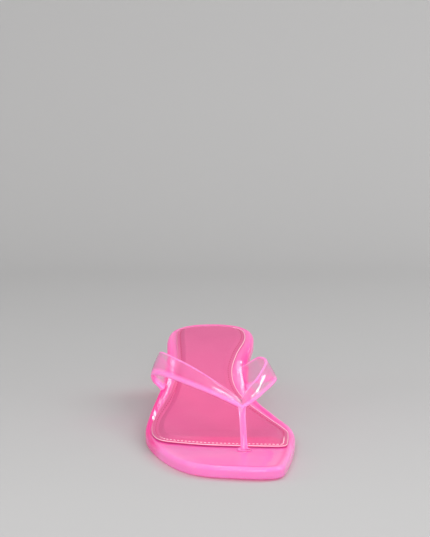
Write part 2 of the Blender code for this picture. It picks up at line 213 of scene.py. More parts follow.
# Foot of the toe post: share of its radius, share of its height
POST_FOOT_ROWS = (
    (1.00, 0.00),
    (1.00, 0.35),
    (0.94, 0.75),
    (0.80, 1.00),
    (0.62, 1.12),
)
# Heel: share of the way up, share of the spread from its tip at the sides, the front and the back
HEEL_ROWS = (
    (0.00, 0.00, 0.00, 0.00),
    (0.20, 0.06, 0.04, 0.16),
    (0.45, 0.20, 0.14, 0.42),
    (0.68, 0.40, 0.34, 0.68),
    (0.86, 0.68, 0.64, 0.88),
    (1.00, 1.00, 1.00, 1.00),
)

# Faces that meet at more than this angle keep their edge
SHARP_ANGLE = math.radians(40.0)

# Steps of the fine meshes
OUTLINE_STEPS = 10
INSOLE_OUTLINE_STEPS = 12
FILL_COLUMNS = 20
EDGE_STEPS = 7
STRAP_STEPS = 12
BAND_COLUMNS = 16
NOSE_STEPS = 6
ROUND_STEPS = 48
HEEL_STEPS = 24
POST_STEPS = 30
POST_SIDES = 24
THREAD_STEPS = 6
THREAD_SIDES = 8
SWEEP_STEPS = 40

# Rings from an outline inwards: spacing and reach of the fine ones, number of the coarse ones, and
# how far their middle line stays from the ends of the outline
RIM_STEP = 0.0007
RIM_REACH = 0.0145
SOLE_RINGS = 10
SOLE_SPINE_INSET = 0.028
PAD_STEP = 0.0003
PAD_REACH = 0.0105
PAD_RINGS = 16
PAD_RING_POWER = 1.5
PAD_SPINE_INSET = 0.026

# The rings' points lie on rays that meet the outline at this cosine or more, and end at this share
# of the way to the middle line
RAY_SLANT = 0.5
RAY_END = 0.96

# Bare rim beside the insole: shares of the length over which its crown rises and ends
CROWN_START_SHARES = (0.36, 0.46)
CROWN_END_SHARES = (0.90, 0.97)

# Heel: how far it reaches into the seat, as a share of the seat's thickness
HEEL_SINK_SHARE = 0.5
# Heel tip: depth of the dish in its wearing face, its rims in edge radii, and the cut of the edges
TIP_DISH_DEPTH = 0.0004
TIP_DISH_RADII = (4.0, 3.4)
TIP_EDGE_CUT = 0.3

# Strap: steps to either side over which its direction is taken, and how soon its ends leave the roots
STRAP_TURN_STEPS = 4
ROOT_BLEND_POWER = 3

# Insole: shares of the length over which the side padding takes over from the front's, half of the
# width over which the border changes from the outer to the inner side, and its cut at the heel
PUFF_SIDE_SHARES = (0.25, 0.31)
BORDER_TURN = 0.012
HEEL_BORDER_CUT = 0.5
HEEL_BORDER_SHARES = (0.45, 0.65)
# Thread: slant of a stitch, its thickness at the ends and how deep it sits, as shares of its radius
STITCH_SLANT = math.radians(7.0)
THREAD_END_SHARE = 0.35
THREAD_SINK_SHARE = 0.75
# Cut edge of the lining: how far it lies in and down, as shares of its radius
CUT_EDGE_INSET_SHARE = 0.6
CUT_EDGE_SINK_SHARE = 0.7

# Painted glow in the PVC, from 0 to 1: emission and a brighter, milkier colour that stand in for light
# gathered in it. It is painted at the sole's outline and how far in, in the heel, along the middle of the
# toe post and in its foot, and in the strap by columns from its front and back. The post's marks reach a
# little past its sides, as a share of its half width.
SOLE_GLOW = 0.8
GLOW_REACH = 0.006
HEEL_GLOW = 0.6
POST_GLOW = 0.55
POST_MARGIN = 1.15
FOOT_GLOW = 0.3
FRONT_GLOW_COLUMNS = (1.0, 3.8)
BACK_GLOW_COLUMNS = (0.0, 1.2)

# Deep pink of the sole's rim, from 0 to 1, partly the colour of thick PVC seen edge-on and partly painted
# shade on the sides away from the key light: shares of the length and reaches from the outline over which
# it comes and goes, and its level inwards of them
DEEP_SHADE_FRONT_SHARES = (0.18, 0.28)
DEEP_SHADE_BACK_SHARES = (0.62, 0.84)
DEEP_SHADE_REACHES = (0.0010, 0.0026)
DEEP_SHADE_WAIST_SHARES = (0.25, 0.42)
DEEP_SHADE_WAIST_REACH = 0.0026
DEEP_SHADE_RIM = 0.42
# The inner side in front of the waist, which faces the key light, gets less of this painted shade and so is
# paler, with one deep band inside its rim
INNER_TURN = (-0.02, 0.02)
INNER_WAIST_SHARES = (0.50, 0.60)
INNER_PALENESS = 0.8
INNER_BAND_REACH = 0.0044
INNER_BAND_WIDTH = 0.0014
INNER_BAND_DEPTH = 0.6

# Distances behind the insole's front over which its painted light fades: the front of the pad is painted
# brighter and more saturated, as if lit from the front
FRONT_LIGHT_FADE = (0.0105, 0.0175)
# Places in the shoe, in metres, between which the thread turns from painted shade to its pale colour at the
# front, and the cut edge turns paler as a painted highlight on the inner side and at the front
THREAD_FRONT = (0.066, 0.074)
CUT_EDGE_INNER = (-0.020, 0.0)
CUT_EDGE_FRONT = (0.070, 0.095)

# The two jelly mouldings: share of milk in the body and at the edges, where the painted glow raises it,
# how fast the colour builds up through the depth, and how far light spreads in the milk
SOLE_JELLY = {"milkiness": 0.62, "edge_milkiness": 0.85, "density": 60.0, "spread": 0.006}
STRAP_JELLY = {"milkiness": 0.27, "edge_milkiness": 0.9, "density": 45.0, "spread": 0.003}
PVC_IOR = 1.45

# Lights round the shoe: name, azimuth, elevation, distance, width and height, brightness
LIGHT_TARGET = Vector((0.0, 0.02, 0.02))
WINDOW_TINT = (1.0, 0.93, 0.92)
WINDOW_ROWS = (
    ("back_strip_left", -9.8, 54.8, 1.5, (0.136, 0.058), 8.5),
    ("back_strip_right", 3.0, 54.7, 1.5, (0.030, 0.050), 8.0),
    ("back_strip_far_right", 8.2, 54.7, 1.5, (0.040, 0.050), 8.0),
    ("back_strip_pale", 6.2, 54.6, 1.49, (0.17, 0.045), 2.8),
    ("back_strip_high", 3.5, 56.2, 1.5, (0.15, 0.016), 2.5),
    ("back_window", -10.2, 50.4, 1.48, (0.19, 0.056), 15.0),
    ("strap_window", -13.0, 47.7, 1.45, (0.16, 0.05), 14.0),
    ("inner_window", 32.8, 27.6, 1.2, (0.075, 0.085), 8.0),
    ("toe_window", 170.0, 13.0, 1.6, (0.35, 0.20), 11.0),
    ("outer_toe_window", -108.0, 16.0, 1.5, (0.22, 0.36), 9.0),
)
LAMP_ROWS = (
    ("key_light", 80.0, 42.0, 1.8, (1.0, 1.0), 5.0),
    ("front_light", -176.0, 30.0, 1.9, (1.5, 1.0), 4.6),
    ("overhead", 0.0, 88.0, 1.9, (1.6, 1.3), 1.0),
    ("fill_light", -80.0, 40.0, 1.9, (1.0, 1.0), 0.8),
)

# Studio paper: where its floor starts, its curve and its wall, in metres
SWEEP_FRONT = -2.2
SWEEP_START = 0.62
SWEEP_RADIUS = 0.55
SWEEP_HEIGHT = 2.6
SWEEP_HALF_WIDTH = 2.4
# Grey of the paper at shares of a span from the front of the floor to the wall: painted shading, lighter
# towards the camera and darkest where the paper starts to rise
PAPER_SPAN = (-0.6, 1.4)
PAPER_LEVELS = (
    (0.0, 0.455),
    (0.22, 0.445),
    (0.30, 0.425),
    (0.36, 0.405),
    (0.47, 0.392),
    (0.62, 0.372),
    (0.80, 0.392),
    (1.0, 0.41),
)
PAPER_TINT_SHARE = 0.03

# The shoe's own frame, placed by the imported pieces
HEEL_MIDDLE = HEEL_WIDTH * BACKPART_ROWS[-1][0]
TIP_LOW, TIP_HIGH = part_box("heel_tip")
TOE_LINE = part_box("sole")[0][1]
SHOE_PLACE = Vector(((TIP_LOW[0] + TIP_HIGH[0]) / 2.0 - HEEL_MIDDLE, TOE_LINE, 0.0))


# Curves and heights of the shoe


def catmull_rom(before, start, end, after, share):
    """Place at a share of the way from start to end, on a smooth curve through all four."""
    square = share * share
    cube = square * share
    return 0.5 * (
        2.0 * start
        + (end - before) * share
        + (2.0 * before - 5.0 * start + 4.0 * end - after) * square
        + (3.0 * start - before - 3.0 * end + after) * cube
    )


def curve_between(before, points, after, steps):
    """Smooth curve through all points, led in and out by one more place at each end."""
    padded = [before, *points, after]
    curve = []
    for index in range(len(points) - 1):
        for step in range(steps):
            curve.append(catmull_rom(*padded[index:index + 4], step / steps))
    curve.append(points[-1].copy())
    return curve


def curve_through(points, steps):
    """Smooth curve through all points, with its ends carried straight on."""
    first = 2.0 * points[0] - points[1]
    last = 2.0 * points[-1] - points[-2]
    return curve_between(first, points, last, steps)


def rows_value(rows, position, column=1):
    """Value of a column of a table at a position, without overshoot between rows."""
    if position <= rows[0][0]:
        return rows[0][column]
    if position >= rows[-1][0]:
        return rows[-1][column]
    slopes = [(b[column] - a[column]) / (b[0] - a[0]) for a, b in zip(rows, rows[1:])]
    tangents = [slopes[0]]
    for left, right in zip(slopes, slopes[1:]):
        product = left * right
        tangents.append(2.0 * product / (left + right) if product > 0.0 else 0.0)
    tangents.append(slopes[-1])
    index = next(number for number, row in enumerate(rows[1:]) if position <= row[0])
    start, end = rows[index:index + 2]
    width = end[0] - start[0]
    share = (position - start[0]) / width
    square = share * share
    cube = square * share
    return (
        (2.0 * cube - 3.0 * square + 1.0) * start[column]
        + (cube - 2.0 * square + share) * width * tangents[index]
        + (3.0 * square - 2.0 * cube) * end[column]
        + (cube - square) * width * tangents[index + 1]
    )


def smooth_share(value, start, end):
    """Share of the way from start to end, eased at both ends."""
    share = min(1.0, max(0.0, (value - start) / (end - start)))
    return share * share * (3.0 - 2.0 * share)


def soft_line(reach, middle, width):
    """A soft line beside an edge: 1 at its middle, and less the further off on either side."""
    return math.exp(-((reach - middle) / width) ** 2)


def bed_height(along):
    """Top of the sole."""
    share = along / LENGTH
    rise = rows_value(BED_ROWS, share) * (SEAT_HEIGHT - FOREFOOT_THICKNESS)
    spring = TOE_SPRING * max(0.0, 1.0 - share / SPRING_END_SHARE) ** 2
    return FOREFOOT_THICKNESS + rise + spring


def under_height(along):
    """Underside of the sole."""
    blend = smooth_share(along / LENGTH, SEAT_START_SHARE, SEAT_END_SHARE)
    thickness = FOREFOOT_THICKNESS + (SEAT_THICKNESS - FOREFOOT_THICKNESS) * blend
    return max(0.0, bed_height(along) - thickness)


def rim_height(inset, along, radius):
    """Top of the sole within its rounded edge, at an inset from the outline."""
    reach = min(radius, max(0.0, radius - inset))
    return bed_height(along) - radius + math.sqrt(radius ** 2 - reach ** 2)


def outline_sides(forepart, backpart, steps):
    """Inner and outer side of an outline, point for point, from its front to its back."""
    sides = ([], [])
    for rows, width in ((forepart, BALL_WIDTH), (backpart, HEEL_WIDTH)):
        for inner_across, inner_along, outer_across, outer_along in rows:
            sides[0].append(Vector((inner_across * width, inner_along * LENGTH)))
            sides[1].append(Vector((outer_across * width, outer_along * LENGTH)))
    inner, outer = sides
    return (
        curve_between(outer[1], inner, outer[-2], steps),
        curve_between(inner[1], outer, inner[-2], steps),
    )


def closed_outline(inner, outer):
    """The two sides as one loop with its inward directions, inner side first."""
    loop = inner + outer[-2:0:-1]
    inward = []
    for index, point in enumerate(loop):
        tangent = loop[(index + 1) % len(loop)] - loop[index - 1]
        inward.append(Vector((-tangent.y, tangent.x)).normalized())
    return loop, inward


SOLE_SIDES = outline_sides(FOREPART_ROWS, BACKPART_ROWS, OUTLINE_STEPS)
SOLE_OUTLINE = closed_outline(*SOLE_SIDES)
INSOLE_SIDES = outline_sides(INSOLE_FOREPART_ROWS, INSOLE_BACKPART_ROWS, INSOLE_OUTLINE_STEPS)
INSOLE_OUTLINE = closed_outline(*INSOLE_SIDES)
INSOLE_FRONT = INSOLE_FOREPART_ROWS[0][1] * LENGTH
INSOLE_BACK = INSOLE_BACKPART_ROWS[-1][1] * LENGTH


def side_at(sign, along):
    """Point and outward direction on the sole outline at a distance behind the toe point."""
    curve = SOLE_SIDES[0 if sign > 0.0 else 1]
    for start, end in zip(curve, curve[1:]):
        if start.y <= along <= end.y and end.y > start.y:
            share = (along - start.y) / (end.y - start.y)
            tangent = (end - start).normalized()
            outward = Vector((tangent.y, -tangent.x)) * sign
            return start.lerp(end, share), outward
    return curve[-1], Vector((0.0, 1.0))


class OutlineReach:
    """Distance from a place in the shoe to an outline."""

    def __init__(self, loop):
        self.loop = loop
        self.tree = kdtree.KDTree(len(loop))
        for index, point in enumerate(loop):
            self.tree.insert((point.x, point.y, 0.0), index)
        self.tree.balance()

    def __call__(self, place):
        index = self.tree.find((place.x, place.y, 0.0))[1]
        centre = self.loop[index]
        shortest = (place.xy - centre).length
        for other in (self.loop[index - 1], self.loop[(index + 1) % len(self.loop)]):
            side = other - centre
            share = min(1.0, max(0.0, (place.xy - centre).dot(side) / side.length_squared))
            shortest = min(shortest, (place.xy - centre - side * share).length)
        return shortest


class Spread:
    """Places between an outline and its middle line, on one ray from each point of the outline."""

    def __init__(self, outline, front, back):
        self.loop, self.inward = outline
        self.reach_at = OutlineReach(self.loop)
        half = len(self.loop) // 2
        inner = self.loop[:half + 1]
        outer = [self.loop[-index] for index in range(half + 1)]
        self.targets = []
        for point in self.loop:
            along = min(back, max(front, point.y))
            across = (self.across_at(inner, along) + self.across_at(outer, along)) / 2.0
            self.targets.append(Vector((across, along)))

    @staticmethod
    def across_at(side, along):
        """Where one side of the outline lies, across the shoe."""
        for start, end in zip(side, side[1:]):
            if start.y <= along <= end.y and end.y > start.y:
                return start.lerp(end, (along - start.y) / (end.y - start.y)).x
        return side[-1].x

    def ring(self, mesh, reach, height, share=0.0):
        """A ring at a reach from the outline, and from there a share of the way to the middle line."""
        ring = []
        for point, inward, target in zip(self.loop, self.inward, self.targets):
            ray = target - point
            slant = max(RAY_SLANT, ray.normalized().dot(inward))
            first = min(RAY_END, reach / (ray.length * slant))
            place = point + ray * (first + (RAY_END - first) * share)
            ring.append(mesh.verts.new((place.x, place.y, height(place))))
        return ring

    def inner_rings(self, mesh, start, step, end, count, power, height):
        """Fine rings from one reach to another, then a count of coarse ones to the middle line."""
        rings = []
        reach = start
        while reach < end:
            rings.append(self.ring(mesh, reach, height))
            reach += step
        for number in range(1, count + 1):
            rings.append(self.ring(mesh, end, height, (number / count) ** power))
        return rings


# Meshes


def circle(steps):
    """Cosine and sine of each step round a circle."""
    angles = [math.tau * step / steps for step in range(steps)]
    return [(math.cos(angle), math.sin(angle)) for angle in angles]


def skin_rings(mesh, rings):
    """Faces between each ring of points and the next."""
    count = len(rings[0])
    for lower, upper in zip(rings, rings[1:]):
        for index in range(count):
            after = (index + 1) % count
            mesh.faces.new((lower[index], lower[after], upper[after], upper[index]))


def fill_ribs(mesh, ring, columns, height):
    """Fills a ring with ribs from its inner to its outer side."""
    count = len(ring)
    half = count // 2
    ribs = []
    for index in range(1, half):
        start = ring[index]
        end = ring[count - index]
        rib = [start]
        for column in range(1, columns):
            place = start.co.lerp(end.co, column / columns)
            rib.append(mesh.verts.new((place.x, place.y, height(place))))
        rib.append(end)
        ribs.append(rib)
    for first, second in zip(ribs, ribs[1:]):
        for column in range(columns):
            mesh.faces.new((first[column], second[column], second[column + 1], first[column + 1]))
    for tip, rib in ((ring[0], ribs[0]), (ring[half], ribs[-1])):
        for column in range(columns):
            mesh.faces.new((tip, rib[column], rib[column + 1]))


def loft_mesh(sections, glow=None):
    """Closed body through sections of as many points each, capped at both ends.

    glow gives, for each point of a section, how much painted glow the PVC gets there.
    """
    mesh = bmesh.new()
    layer = mesh.verts.layers.float.new(GLOW)
    rings = [[mesh.verts.new(point) for point in section] for section in sections]
    for ring in rings:
        for vertex, value in zip(ring, glow or [0.0] * len(ring)):
            vertex[layer] = value
    skin_rings(mesh, rings)
    mesh.faces.new(rings[0])
    mesh.faces.new(rings[-1])
    return mesh


def smooth_faces(data):
    """Smooth shading, with an edge kept wherever two faces meet sharply."""
    data.shade_smooth()
    data.set_sharp_from_angle(angle=SHARP_ANGLE)


def add_piece(name, mesh, surface=None):
    """A closed mesh as an object at the shoe's place in the frame."""
    bmesh.ops.recalc_face_normals(mesh, faces=mesh.faces)
    data = bpy.data.meshes.new(name)
    mesh.to_mesh(data)
    mesh.free()
    if surface:
        data.materials.append(surface)
    smooth_faces(data)
    piece = bpy.data.objects.new(name, data)
    piece.location = SHOE_PLACE
    bpy.context.scene.collection.objects.link(piece)
    return piece


def join_bodies(piece, meshes):
    """Unites closed meshes with a piece, so that one skin runs round all of them."""
    for number, mesh in enumerate(meshes):
        other = add_piece(f"{piece.name}_form_{number}", mesh)
        modifier = piece.modifiers.new("join", "BOOLEAN")
        modifier.operation = "UNION"
        modifier.object = other
        bpy.context.view_layer.update()
        graph = bpy.context.evaluated_depsgraph_get()
        joined = bpy.data.meshes.new_from_object(piece.evaluated_get(graph))
        piece.modifiers.clear()
        old = piece.data
        piece.data = joined
        bpy.data.meshes.remove(old)
        bpy.data.objects.remove(other, do_unlink=True)
    smooth_faces(piece.data)


def rounded_section(half_width, front, back, height):
    """Rounded rectangle between two places along the shoe."""
    centre = (front + back) / 2.0
    half_depth = (back - front) / 2.0
    power = 2.0 / HEEL_SQUARENESS
    points = []
    for cosine, sine in circle(ROUND_STEPS):
        across = HEEL_MIDDLE + half_width * math.copysign(abs(cosine) ** power, cosine)
        along = centre + half_depth * math.copysign(abs(sine) ** power, sine)
        points.append(Vector((across, along, height(along))))
    return points


def rim_crown(reach, along, sizes):
    """Soft crown of the bare rim beside the insole, from the ball of the foot to the heel."""
    share = along / LENGTH
    present = smooth_share(share, *CROWN_START_SHARES)
    present *= 1.0 - smooth_share(share, *CROWN_END_SHARES)
    return sizes.crown_height * present * soft_line(reach, sizes.crown_inset, sizes.crown_width)


def paint(piece, layer, value_at):
    """Writes a number at each vertex of a piece from its place in the shoe, where there is one."""
    attributes = piece.data.attributes
    attribute = attributes.get(layer) or attributes.new(layer, "FLOAT", "POINT")
    for vertex, item in zip(piece.data.vertices, attribute.data):
        value = value_at(vertex.co)
        if value is not None:
            item.value = value


def paint_sole(piece):
    """Marks the sole's painted glow, and its rim's deeper pink with painted shade."""
    reach_at = OutlineReach(SOLE_OUTLINE[0])

    def glow(place):
        # Painted glow: even in the heel, full at the sole's outline and fading inwards
        if place.z < under_height(place.y) - CLEARANCE:
            return HEEL_GLOW
        return SOLE_GLOW * soft_line(reach_at(place), 0.0, GLOW_REACH)

    # Deep pink with painted shade: on the rim, less on the inner side in front of the waist, with one band
    # inside its rim there
    def deep_and_shade(place):
        share = place.y / LENGTH
        inner = smooth_share(place.x, *INNER_TURN)
        inner *= 1.0 - smooth_share(share, *INNER_WAIST_SHARES)
        reach = reach_at(place)
        waist = DEEP_SHADE_WAIST_REACH * smooth_share(share, *DEEP_SHADE_WAIST_SHARES)
        outer = 1.0 - smooth_share(share, *DEEP_SHADE_BACK_SHARES)
        outer *= 1.0 - smooth_share(reach - waist, *DEEP_SHADE_REACHES)
        rim = smooth_share(share, *DEEP_SHADE_FRONT_SHARES) * (DEEP_SHADE_RIM + (1.0 - DEEP_SHADE_RIM) * outer)
        band = INNER_BAND_DEPTH * soft_line(reach, INNER_BAND_REACH, INNER_BAND_WIDTH)
        return rim * (1.0 - INNER_PALENESS * inner) + band * inner

    paint(piece, GLOW, glow)
    paint(piece, DEPTH_AND_SHADE, deep_and_shade)


def sole_mesh(sizes):
    """Sole plate with its rounded edges and crowned rim."""
    radius = sizes.top_edge_radius
    spread = Spread(SOLE_OUTLINE, SOLE_SPINE_INSET, LENGTH - SOLE_SPINE_INSET)
    mesh = bmesh.new()
    rings = []
    for step in range(EDGE_STEPS + 1):
        angle = math.radians(90.0 * step / EDGE_STEPS)
        inset = BOTTOM_EDGE_RADIUS * (1.0 - math.sin(angle))
        lift = BOTTOM_EDGE_RADIUS * (1.0 - math.cos(angle))
        rings.append(spread.ring(mesh, inset, lambda place, lift=lift: under_height(place.y) + lift))

    def top(place):
        reach = spread.reach_at(place)
        return rim_height(reach, place.y, radius) + rim_crown(reach, place.y, sizes)

    for step in range(EDGE_STEPS * 2 + 1):
        angle = math.radians(90.0 * step / (EDGE_STEPS * 2))
        rings.append(spread.ring(mesh, radius * (1.0 - math.cos(angle)), top))
    rings += spread.inner_rings(mesh, radius + RIM_STEP, RIM_STEP, RIM_REACH, SOLE_RINGS, 1.0, top)
    skin_rings(mesh, rings)
    fill_ribs(mesh, rings[0], FILL_COLUMNS, lambda place: under_height(place.y))
    fill_ribs(mesh, rings[-1], 2, top)
    return mesh


def heel_ends():
    """Front and back of the heel at its tip and at its top."""
    top_back = LENGTH - HEEL_BACK_INSET
    tip_back = LENGTH - HEEL_TIP_INSET
    return tip_back - HEEL_TIP_DEPTH, tip_back, top_back - HEEL_TOP_DEPTH, top_back


def heel_mesh():
    """Heel from the top of its tip piece into the seat."""
    tip_front, tip_back, top_front, top_back = heel_ends()
    foot = HEEL_TIP_THICKNESS + CLEARANCE
    sections = []
    for step in range(HEEL_STEPS + 1):
        up = step / HEEL_STEPS
        sides = rows_value(HEEL_ROWS, up, 1)
        front = tip_front + (top_front - tip_front) * rows_value(HEEL_ROWS, up, 2)
        back = tip_back + (top_back - tip_back) * rows_value(HEEL_ROWS, up, 3)
        half_width = (HEEL_TIP_WIDTH + (HEEL_TOP_WIDTH - HEEL_TIP_WIDTH) * sides) / 2.0

        def height(along, up=up):
            seat = under_height(along) + SEAT_THICKNESS * HEEL_SINK_SHARE
            return foot + (seat - foot) * up

        sections.append(rounded_section(half_width, front, back, height))
    return loft_mesh(sections)


def heel_tip_mesh(sizes):
    """Heel tip with softened edges and a shallow dish in its wearing face."""
    tip_front, tip_back, _, _ = heel_ends()
    radius = sizes.tip_edge_radius
    dish, rim = TIP_DISH_RADII
    bevel = radius * TIP_EDGE_CUT
    levels = (
        (radius * dish, TIP_DISH_DEPTH),
        (radius * rim, 0.0),
        (radius, 0.0),
        (bevel, bevel),
        (0.0, radius),
        (0.0, HEEL_TIP_THICKNESS - radius),
        (bevel, HEEL_TIP_THICKNESS - bevel),
        (radius, HEEL_TIP_THICKNESS),
    )
    sections = []
    for inset, up in levels:
        half_width = HEEL_TIP_WIDTH / 2.0 - inset
        front = tip_front + inset
        back = tip_back - inset
        sections.append(rounded_section(half_width, front, back, lambda along, up=up: up))
    return loft_mesh(sections)


def strap_edges(rows, sign):
    """Front and back edge of one leg of the strap, from the toe post down to its root."""
    fronts = []
    backs = []
    for row in rows:
        for edge, (across, along, height) in ((fronts, row[:3]), (backs, row[3:])):
            distance = along * LENGTH
            lift = bed_height(distance) + height * STRAP_HEIGHT
            edge.append(Vector((across * BALL_WIDTH, distance, lift)))
    for edge, share in ((fronts, ROOT_FRONT_SHARE), (backs, ROOT_BACK_SHARE)):
        along = share * LENGTH
        point, outward = side_at(sign, along)
        place = point - outward * ROOT_INSET
        edge.append(Vector((place.x, place.y, bed_height(along))))
    return curve_through(fronts, STRAP_STEPS), curve_through(backs, STRAP_STEPS)


def nose_turns():
    """Cosine and sine of each step round an edge of the band, from its outside to its inside face."""
    angles = [math.radians(90.0 - 180.0 * step / NOSE_STEPS) for step in range(1, NOSE_STEPS)]
    return [(math.cos(angle), math.sin(angle)) for angle in angles]


def nose_points(edge, out, normal, half):
    """Round edge of the band."""
    return [edge + out * (half * cosine) + normal * (half * sine) for cosine, sine in nose_turns()]


def band_section(front, back, direction, half):
    """Section of the band, arched away from the foot, with round edges."""
    chord = back - front
    across = chord.normalized()
    normal = direction.cross(chord).normalized()
    outside = []
    inside = []
    for column in range(BAND_COLUMNS + 1):
        share = column / BAND_COLUMNS
        place = front.lerp(back, share) + normal * (4.0 * STRAP_ARCH * share * (1.0 - share))
        outside.append(place + normal * half)
        inside.append(place - normal * half)
    tail = nose_points(back, across, normal, half)
    nose = nose_points(front, -across, -normal, half)
    return outside + tail + inside[::-1] + nose


def root_section(sign, half, radius):
    """End of the band, seated on the rounded top edge of the sole."""

    def seat(share, inset):
        point, outward = side_at(sign, share * LENGTH)
        place = point - outward * inset
        return Vector((place.x, place.y, rim_height(inset, place.y, radius)))

    outer = []
    inner = []
    for column in range(BAND_COLUMNS + 1):
        share = ROOT_FRONT_SHARE + (ROOT_BACK_SHARE - ROOT_FRONT_SHARE) * column / BAND_COLUMNS
        outer.append(seat(share, ROOT_INSET - half))
        inner.append(seat(share, ROOT_INSET + half))
    tail = []
    nose = []
    for cosine, sine in nose_turns():
        out = half * cosine / LENGTH
        turn = half * sine
        tail.append(seat(ROOT_BACK_SHARE + out, ROOT_INSET - turn))
        nose.append(seat(ROOT_FRONT_SHARE - out, ROOT_INSET + turn))
    return outer + tail + inner[::-1] + nose


def strap_mesh(sizes):
    """The V strap as one band, from the outer root over the toe post to the inner root."""
    half = sizes.strap_wall / 2.0
    outer_front, outer_back = strap_edges(OUTER_STRAP_ROWS, -1.0)
    inner_front, inner_back = strap_edges(INNER_STRAP_ROWS, 1.0)
    fronts = outer_front[:0:-1] + inner_front
    backs = outer_back[:0:-1] + inner_back
    centres = [(front + back) / 2.0 for front, back in zip(fronts, backs)]
    last = len(centres) - 1
    sections = []
    for index, (front, back) in enumerate(zip(fronts, backs)):
        before = centres[max(index - STRAP_TURN_STEPS, 0)]
        after = centres[min(index + STRAP_TURN_STEPS, last)]
        sections.append(band_section(front, back, after - before, half))
    flare = half * sizes.root_flare
    for sign, order in ((-1.0, range(STRAP_STEPS)), (1.0, range(last, last - STRAP_STEPS, -1))):
        root = root_section(sign, flare, sizes.top_edge_radius)
        for step, index in enumerate(order):
            share = (1.0 - step / STRAP_STEPS) ** ROOT_BLEND_POWER
            section = sections[index]
            for number, point in enumerate(section):
                section[number] = point.lerp(root[number], share)
    return loft_mesh(sections, band_glow())


def band_glow():
    """Painted glow in the band's section, as if light gathered there: full in its round edges, fading
    inwards, widest in front.
    """
    face = []
    for column in range(BAND_COLUMNS + 1):
        front = smooth_share(column, *FRONT_GLOW_COLUMNS)
        back = smooth_share(BAND_COLUMNS - column, *BACK_GLOW_COLUMNS)
        face.append(1.0 - front * back)
    nose = [1.0] * (NOSE_STEPS - 1)
    return face + nose + face[::-1] + nose


def post_place(up):
    """Middle of the toe post with its half width and half depth, at a share of the way up."""
    start = POST_ALONG * LENGTH
    end = POST_TOP_ALONG * LENGTH
    across = POST_ACROSS * BALL_WIDTH
    top_across = (JOIN_ROW[0] + JOIN_ROW[3]) / 2.0 * BALL_WIDTH
    low = bed_height(start)
    share = (end - JOIN_ROW[1] * LENGTH) / ((JOIN_ROW[4] - JOIN_ROW[1]) * LENGTH)
    lift = JOIN_ROW[2] + (JOIN_ROW[5] - JOIN_ROW[2]) * share
    high = bed_height(end) + lift * STRAP_HEIGHT
    x = across + (top_across - across) * up
    y = start + (end - start) * rows_value(POST_ROWS, up, 1)
    half_width = POST_WIDTH * rows_value(POST_ROWS, up, 2) / 2.0
    half_depth = POST_DEPTH * rows_value(POST_ROWS, up, 3) / 2.0
    return Vector((x, y, low + (high - low) * up)), half_width, half_depth


def post_mesh():
    """Toe post from its foot on the sole up into the strap."""
    sections = []
    for step in range(POST_STEPS + 1):
        middle, half_width, half_depth = post_place(step / POST_STEPS)
        offsets = [Vector((half_width * x, half_depth * y, 0.0)) for x, y in circle(POST_SIDES)]
        sections.append([middle + offset for offset in offsets])
    return loft_mesh(sections)


def post_foot_mesh():
    """Low round foot of the toe post on the sole."""
    along = POST_ALONG * LENGTH
    across = POST_ACROSS * BALL_WIDTH
    sections = []
    for reach, lift in POST_FOOT_ROWS:
        section = []
        for cosine, sine in circle(ROUND_STEPS):
            x = across + POST_FOOT_RADIUS * reach * cosine
            y = along + POST_FOOT_RADIUS * reach * sine
            section.append(Vector((x, y, bed_height(y) + POST_FOOT_HEIGHT * lift)))
        sections.append(section)
    return loft_mesh(sections)


def paint_post(piece):
    """Marks the painted glow of the toe post and its foot, strongest along the post's two sides as painted
    highlight lines.
    """
    low = post_place(0.0)[0]
    high = post_place(1.0)[0]

    def glow(place):
        up = (place.z - low.z) / (high.z - low.z)
        near_foot = (place.xy - low.xy).length < POST_FOOT_RADIUS * POST_MARGIN
        if near_foot and place.z < low.z + POST_FOOT_HEIGHT:
            return FOOT_GLOW
        if not 0.0 <= up <= 1.0:
            return None
        middle, half_width, half_depth = post_place(up)
        side = abs(place.x - middle.x) / half_width
        if side > POST_MARGIN or abs(place.y - middle.y) > half_depth * POST_MARGIN:
            return None
        # Painted highlight lines along the post's two sides, over an even painted glow
        return POST_GLOW + (1.0 - POST_GLOW) * min(1.0, side) ** 3

    paint(piece, GLOW, glow)


def lining_lift(reach, place, sizes):
    """Height of the insole's skin above its underside, at a distance from its edge."""
    rounding = min(INSOLE_EDGE_RADIUS, max(0.0, INSOLE_EDGE_RADIUS - reach))
    drop = INSOLE_EDGE_RADIUS - math.sqrt(INSOLE_EDGE_RADIUS ** 2 - rounding ** 2)
    drop += sizes.border_roll * (1.0 - smooth_share(reach, 0.0, sizes.stitch_inset))
    inner = smooth_share(place.x, -BORDER_TURN, BORDER_TURN)
    border = sizes.outer_border_width + (sizes.inner_border_width - sizes.outer_border_width) * inner
    border *= 1.0 - HEEL_BORDER_CUT * smooth_share(place.y / LENGTH, *HEEL_BORDER_SHARES)
    behind = smooth_share(place.y / LENGTH, *PUFF_SIDE_SHARES)
    width = sizes.front_puff_width + (sizes.puff_width - sizes.front_puff_width) * behind
    start = sizes.front_border_width + (border - sizes.front_border_width) * behind
    stitched = sizes.stitch_sink * soft_line(reach, sizes.stitch_inset, sizes.stitch_width)
    pressed = sizes.groove_depth * soft_line(reach, start, sizes.groove_width)
    rise = smooth_share(reach, start, start + width)
    return INSOLE_BORDER - drop - stitched - pressed + sizes.puff_height * rise


